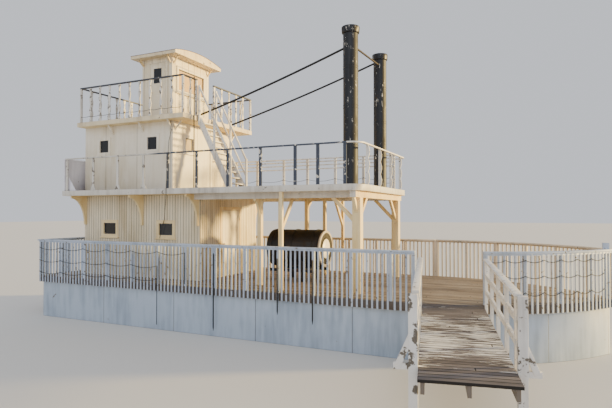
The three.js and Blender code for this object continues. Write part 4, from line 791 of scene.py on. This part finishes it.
BOILER = {"aft": -0.85, "length": 1.53, "radius": 0.51, "z": MAIN_TOP + 0.88,
          "straps": (0.12, 0.74, 1.36)}
BOILER_FRONT = (BOILER["aft"] + BOILER["length"], 0, BOILER["z"])


def boiler_shell():
    """The lagged barrel lies along X: a turned skin with its edges rounded, and three straps."""
    r, n = BOILER["radius"], BOILER["length"]
    outline = [(r - 0.02, 0.0), (r - 0.006, 0.004), (r, 0.02), (r, n - 0.05), (r - 0.012, n - 0.03),
               (r - 0.05, n - 0.004), (r - 0.06, n)]
    strap = np.array([(r - 0.01, -0.03), (r + 0.01, -0.03), (r + 0.014, -0.026),
                      (r + 0.014, 0.026), (r + 0.01, 0.03), (r - 0.01, 0.03)])
    out, _ = spokes(36, 0)
    shapes = [revolved(outline, axis="x", segments=96)]
    shapes += [revolved(strap, X * at, "x", 96) for at in BOILER["straps"]]
    shapes += [rivets(out * (r + 0.0135) + X * at, out, X, 0.012, 0.006)
               for at in BOILER["straps"]]
    return laid(many(shapes), (BOILER["aft"], 0, BOILER["z"]))


def boiler_rim():
    """The front's rim: a rolled ring 60 mm wide with bolts round it."""
    outline = [(0.425, SEAT), (0.47, SEAT), (0.486, 0.012), (0.49, 0.02), (0.49, 0.054),
               (0.484, 0.06), (0.436, 0.06), (0.43, 0.057), (0.425, 0.04)]
    bolts = rivets(spokes(24, 0)[0] * 0.458 + X * 0.0595, X, -Z, 0.012, 0.008)
    return laid(many([revolved(outline, axis="x", segments=96, closed=True), bolts]), BOILER_FRONT)


def boiler_dome():
    """The dished middle: radius 0.275 cos a at height 0.035 + 0.06 sin a, a from 0 to 88
    degrees."""
    turn = np.linspace(0, pi / 2 - 0.03, 12)
    profile = np.stack([0.275 * np.cos(turn), 0.035 + 0.06 * np.sin(turn)], axis=-1)
    return revolved(np.concatenate([[(0.275, 0.01)], profile]), BOILER_FRONT, "x", 96)


piece("boiler_dome", boiler_dome(), DOME_PAINT)
piece("boiler_shell", boiler_shell(), BOILER_BLACK, stands_for="boiler_barrel")
piece("boiler_rim", boiler_rim(), RIM_PAINT, stands_for="boiler_front")
# The sunk plate inside the rim, with a bead round the dome
plate = [(0.426, SEAT), (0.426, 0.04), (0.3, 0.04), (0.29, 0.056), (0.275, 0.062), (0.26, 0.05)]
piece("boiler_plate", revolved(plate, BOILER_FRONT, "x", 96), PLATE_IRON)


# -------------------- paddle wheel
WHEEL_AT, FRAMES = (-8.17, 0, 0.58), (-1.14, 0, 1.14)
ARMS, AHEAD = spokes(8, 1)


def wheel_timbers():
    """Eight boards across the wheel, each on an arm of the three frames."""
    middle, half = ARMS * 0.445 + AHEAD * 0.025, Y * 1.179
    shapes = [timbers(middle - half, middle + half, 0.029, 0.149, up=ARMS)]
    shapes += [timbers(ARMS * 0.1 + Y * y, ARMS * 0.509 + Y * y, 0.06, 0.032, up=Y)
               for y in FRAMES]
    return laid(many(shapes), WHEEL_AT)


def wheel_irons():
    """Hoops and turned hubs of the three frames, the bolts that hold them, and the shaft."""
    hoop = [(0.412, -0.018), (0.446, -0.018), (0.449, -0.015), (0.449, 0.015), (0.446, 0.018),
            (0.412, 0.018)]
    hub = [(0.1, -0.035), (0.108, -0.033), (0.112, -0.025), (0.112, 0.025), (0.108, 0.033),
           (0.1, 0.035)]
    shaft = [(0.038, -1.38), (0.045, -1.373), (0.045, 1.373), (0.038, 1.38)]
    shapes = [revolved(shaft, axis="y", segments=32)]
    for y in FRAMES:
        shapes.append(revolved(hoop, (0, y, 0), "y", closed=True))
        shapes.append(revolved(hub, (0, y, 0), "y", 48))
        for side in (-1, 1):
            shapes.append(rivets(ARMS * 0.43 + Y * (y + side * 0.018), side * Y, X, 0.011, 0.008))
            shapes.append(rivets(ARMS * 0.085 + Y * (y + side * 0.035), side * Y, X, 0.009, 0.006))
    return laid(many(shapes), WHEEL_AT)


def wheel_bearings():
    """A bored cap on the outer face of each timber, round the shaft, held by four bolts."""
    shapes = []
    for side in (-1, 1):
        cap = [(0.049, 1.3503), (0.084, 1.3503), (0.086, 1.354), (0.086, 1.366), (0.082, 1.37),
               (0.051, 1.37)]
        shapes.append(revolved(np.array(cap) * [1, side], axis="y", segments=48, closed=True))
        shapes.append(rivets(ARMS[1::2] * 0.068 + Y * side * 1.3697, side * Y, X, 0.008, 0.006))
    return laid(many(shapes), WHEEL_AT)


piece("wheel_boards", wheel_timbers(), WHEEL_TIMBER, body="paddle_wheel",
      stands_for="paddle_wheel")
piece("wheel_irons", wheel_irons(), FITTINGS, body="paddle_wheel")
piece("wheel_bearings", wheel_bearings(), FITTINGS)


# -------------------- windows
def window(name, middle, along, outward, width, height, glass=GLASS_IN_PAINTED_SHADE, body=HULL, inset=0.03):
    """A sash of four rails 22 mm wide and its pane, set back from the wall's face by inset."""
    back = middle - outward * inset
    w, h, rail, deep = width / 2, height / 2, 0.022, 0.03
    reach, rise = along * (w - 0.001), Z * (h - rail)
    rails = [timbers(back - reach + Z * z, back + reach + Z * z, deep, rail)
             for z in (-h + rail / 2, h - rail / 2)]
    rails += [timbers(back + along * x - rise, back + along * x + rise, deep, rail, up=along)
              for x in (-w + rail / 2, w - rail / 2)]
    # The sashes take the dark cap paint: painted shade, as if lost in the dark opening
    piece(name + "_sash", many(rails), DARK_CAP_AND_SHADED_SASH_PAINT, body=body)
    half = along * (w - 0.01)
    piece(name + "_pane", timbers(back - half, back + half, 0.005, height - 0.02, edge=0.001),
          glass, body=body)


TEXAS_WINDOW_Z, PILOT_WINDOW_Z = BOILER_TOP + 1.34, TEXAS_TOP + 1.29
for side, way in (("starboard", -1), ("port", 1)):
    for cabin, row, level, width, height, panes in (
            ("deckhouse", WINDOWS_AT, WINDOW_Z, 0.48, 0.33, (GLASS_IN_PAINTED_SHADE, GLASS_WITH_PAINTED_SKY)),
            ("texas", (0.79, 2.64), TEXAS_WINDOW_Z, 0.35, 0.36, (GLASS_IN_PAINTED_SHADE, GLASS_IN_PAINTED_SHADE))):
        for number, at in enumerate(row):
            window(f"{cabin}_window_{side}_{number}", (CABIN_AFT + at, way * CABIN_HALF, level),
                   X, way * Y, width, height, panes[number])
window("texas_window_front", (-3.31, -0.75, TEXAS_WINDOW_Z), Y, X, 0.35, 0.36, BLIND)
window("pilothouse_window_port", (-4.39, 0.9, PILOT_WINDOW_Z + 0.01), X, Y, 0.42, 0.42)
window("pilothouse_window_front", (-3.82, 0, PILOT_WINDOW_Z), Y, X, 1.25, 0.62, BOARDED)
window("pilothouse_window_aft", (-4.96, 0, PILOT_WINDOW_Z), Y, -X, 0.9, 0.52)
window("pilothouse_door_light", (-4.354, -0.922, TEXAS_TOP + 1.383), X, -Y, 0.3, 0.45,
       body="pilothouse_door", inset=0.02)


# -------------------- wires and rods on the rails
def festoon(places, level, sag, radius):
    """A wire fastened at each place and slack between: height level - 4 sag t (1 - t)."""
    places = np.asarray(places, float)
    part = np.linspace(0, 1, 9)[:-1]
    spans = places[:-1, None] + np.diff(places, axis=0)[:, None] * part[None, :, None]
    line = np.concatenate([spans.reshape(-1, 2), places[-1:]])
    drop = np.append(np.tile(4 * sag * part * (1 - part), len(places) - 1), 0.0)
    return carried(ring(radius, 6), np.column_stack([line, level - drop]))


# The posts' outer faces, as the wires and drops find them: near side, bow, texas and port rails
OFF = 0.0283
near_y, bow_reach = -(HALF_BEAM + OFF), BOW_RADIUS + OFF
near_line = [(x, near_y) for x in np.linspace(STERN + 0.03, BOW_START, 13)]
turn = np.linspace(0.375, 0.93, 8)
bow_line = np.stack([BOW_START + bow_reach * np.sin(turn),
                     BOW_RADIUS - HALF_BEAM - bow_reach * np.cos(turn)], axis=-1)
texas_line = [(x, -1.775) for x in np.linspace(-6.57, -2.75, 11)]
port_line = [(x, 2.035)
             for x in (-6.8, -5.39, -4.42, -3.47, -2.64, -1.64, -0.78, 0.18, 1.11, 2.055)]
wires = [festoon(*wire) for wire in (
    (near_line[:7], 2.04, 0.07, 0.007), (near_line[:6], 1.67, 0.06, 0.007),
    (near_line[:6], 1.33, 0.06, 0.007), (bow_line, 2.1, 0.05, 0.007),
    (bow_line, 1.78, 0.05, 0.007), (bow_line, 1.45, 0.07, 0.007),
    (texas_line, TEXAS_TOP + 0.17, 0.02, 0.006), (port_line, BOILER_TOP + 0.42, 0.07, 0.006),
    (port_line, BOILER_TOP + 0.25, 0.03, 0.006))]
for x, top, foot in ((-3.027, 1.67, 0.15), (-2.138, 2.04, 1.25)):
    wires.append(carried(ring(0.009, 6), [(x, near_y, top), (x, near_y, foot)], up=X))
# A wire from the texas deck over the upper rail, round the boiler deck's edge and down the wall
corner = [(-3.34, -1.53, 5.64), (-3.337, -1.51, 5.372), (-3.18, -1.8, 5.03), (-2.95, -2.1, 4.7),
          (-2.97, -2.118, 4.2), (-3.002, -2.118, 3.8), (-3.002, -2.118, 3.5), (-3.25, -1.86, 3.18),
          (-3.577, -1.515, 2.853), (-3.66, -1.512, 2.6), (-3.75, -1.512, 2.3)]
wires.append(carried(ring(0.007, 6), corner, up=X))
piece("rail_wires", many(wires), RUBBER)

rods = []
for x, top, foot in ((-1.248, 2.06, 0.16), (0.531, 2.0, 0.7), (1.421, 2.0, 0.56)):
    outline = [(0.004, foot), (0.016, foot + 0.09), (0.016, top - 0.03), (0.01, top)]
    rods.append(revolved(outline, (x, -(HALF_BEAM + 0.0393), 0), segments=12))
# A pipe up the corner of the texas stair
rods.append(revolved([(0.014, 3.712), (0.014, 6.85)], (-2.69, -1.333, 0), segments=12))
piece("hanging_rods", many(rods), FITTINGS)


# -------------------- stage
def stage():
    """A pale floor, a low golden key from ahead and to port, and a wide cool fill from above the
    camera's side."""
    mesh = bpy.data.meshes.new("floor")
    mesh.from_pydata([(x * 160.0, y * 160.0, -0.003)
                      for x, y in ((-1, -1), (1, -1), (1, 1), (-1, 1))], [], [(0, 1, 2, 3)])
    floor = bpy.data.objects.new("floor", mesh)
    material, shader, *_ = blank("pale matt floor")
    feed(shader, {"Base Color": srgb("#dcd9d3"), "Roughness": 0.9})
    mesh.materials.append(material)
    bpy.context.scene.collection.objects.link(floor)
    world = bpy.data.worlds.new("studio")
    world.use_nodes = True
    feed(world.node_tree.nodes["Background"], {"Color": srgb("#e9edf5"), "Strength": 0.9})
    bpy.context.scene.world = world
    for name, toward, power, spread, colour in (
            ("key", (-1.0, -0.6, -0.13), 11.0, 5.0, "#ffdc8c"),
            ("fill", (-0.25, 1.0, -0.35), 0.9, 60.0, "#e6ecf7")):
        lamp = bpy.data.lights.new(name, "SUN")
        lamp.energy, lamp.angle, lamp.color = power, radians(spread), srgb(colour)[:3]
        thing = bpy.data.objects.new(name, lamp)
        thing.rotation_euler = Vector(toward).to_track_quat("-Z", "Y").to_euler()
        bpy.context.scene.collection.objects.link(thing)


def camera():
    """The photograph's view: 3.05 m above the ground, 25 degrees aft of square, horizon at row 213
    of 408, and a lens of 513 pixels on a frame of 612."""
    wide, high, lens, horizon = 612, 408, 513, 213
    view = bpy.data.cameras.new("photograph")
    view.sensor_width, view.lens, view.clip_end = 36.0, 36.0 * lens / wide, 500
    thing = bpy.data.objects.new("photograph", view)
    thing.location = (6.15, -12.92, 3.05)
    thing.rotation_euler = (pi / 2 + atan((horizon - high / 2) / lens), 0, radians(25))
    bpy.context.scene.collection.objects.link(thing)
    bpy.context.scene.camera = thing


stage()
camera()
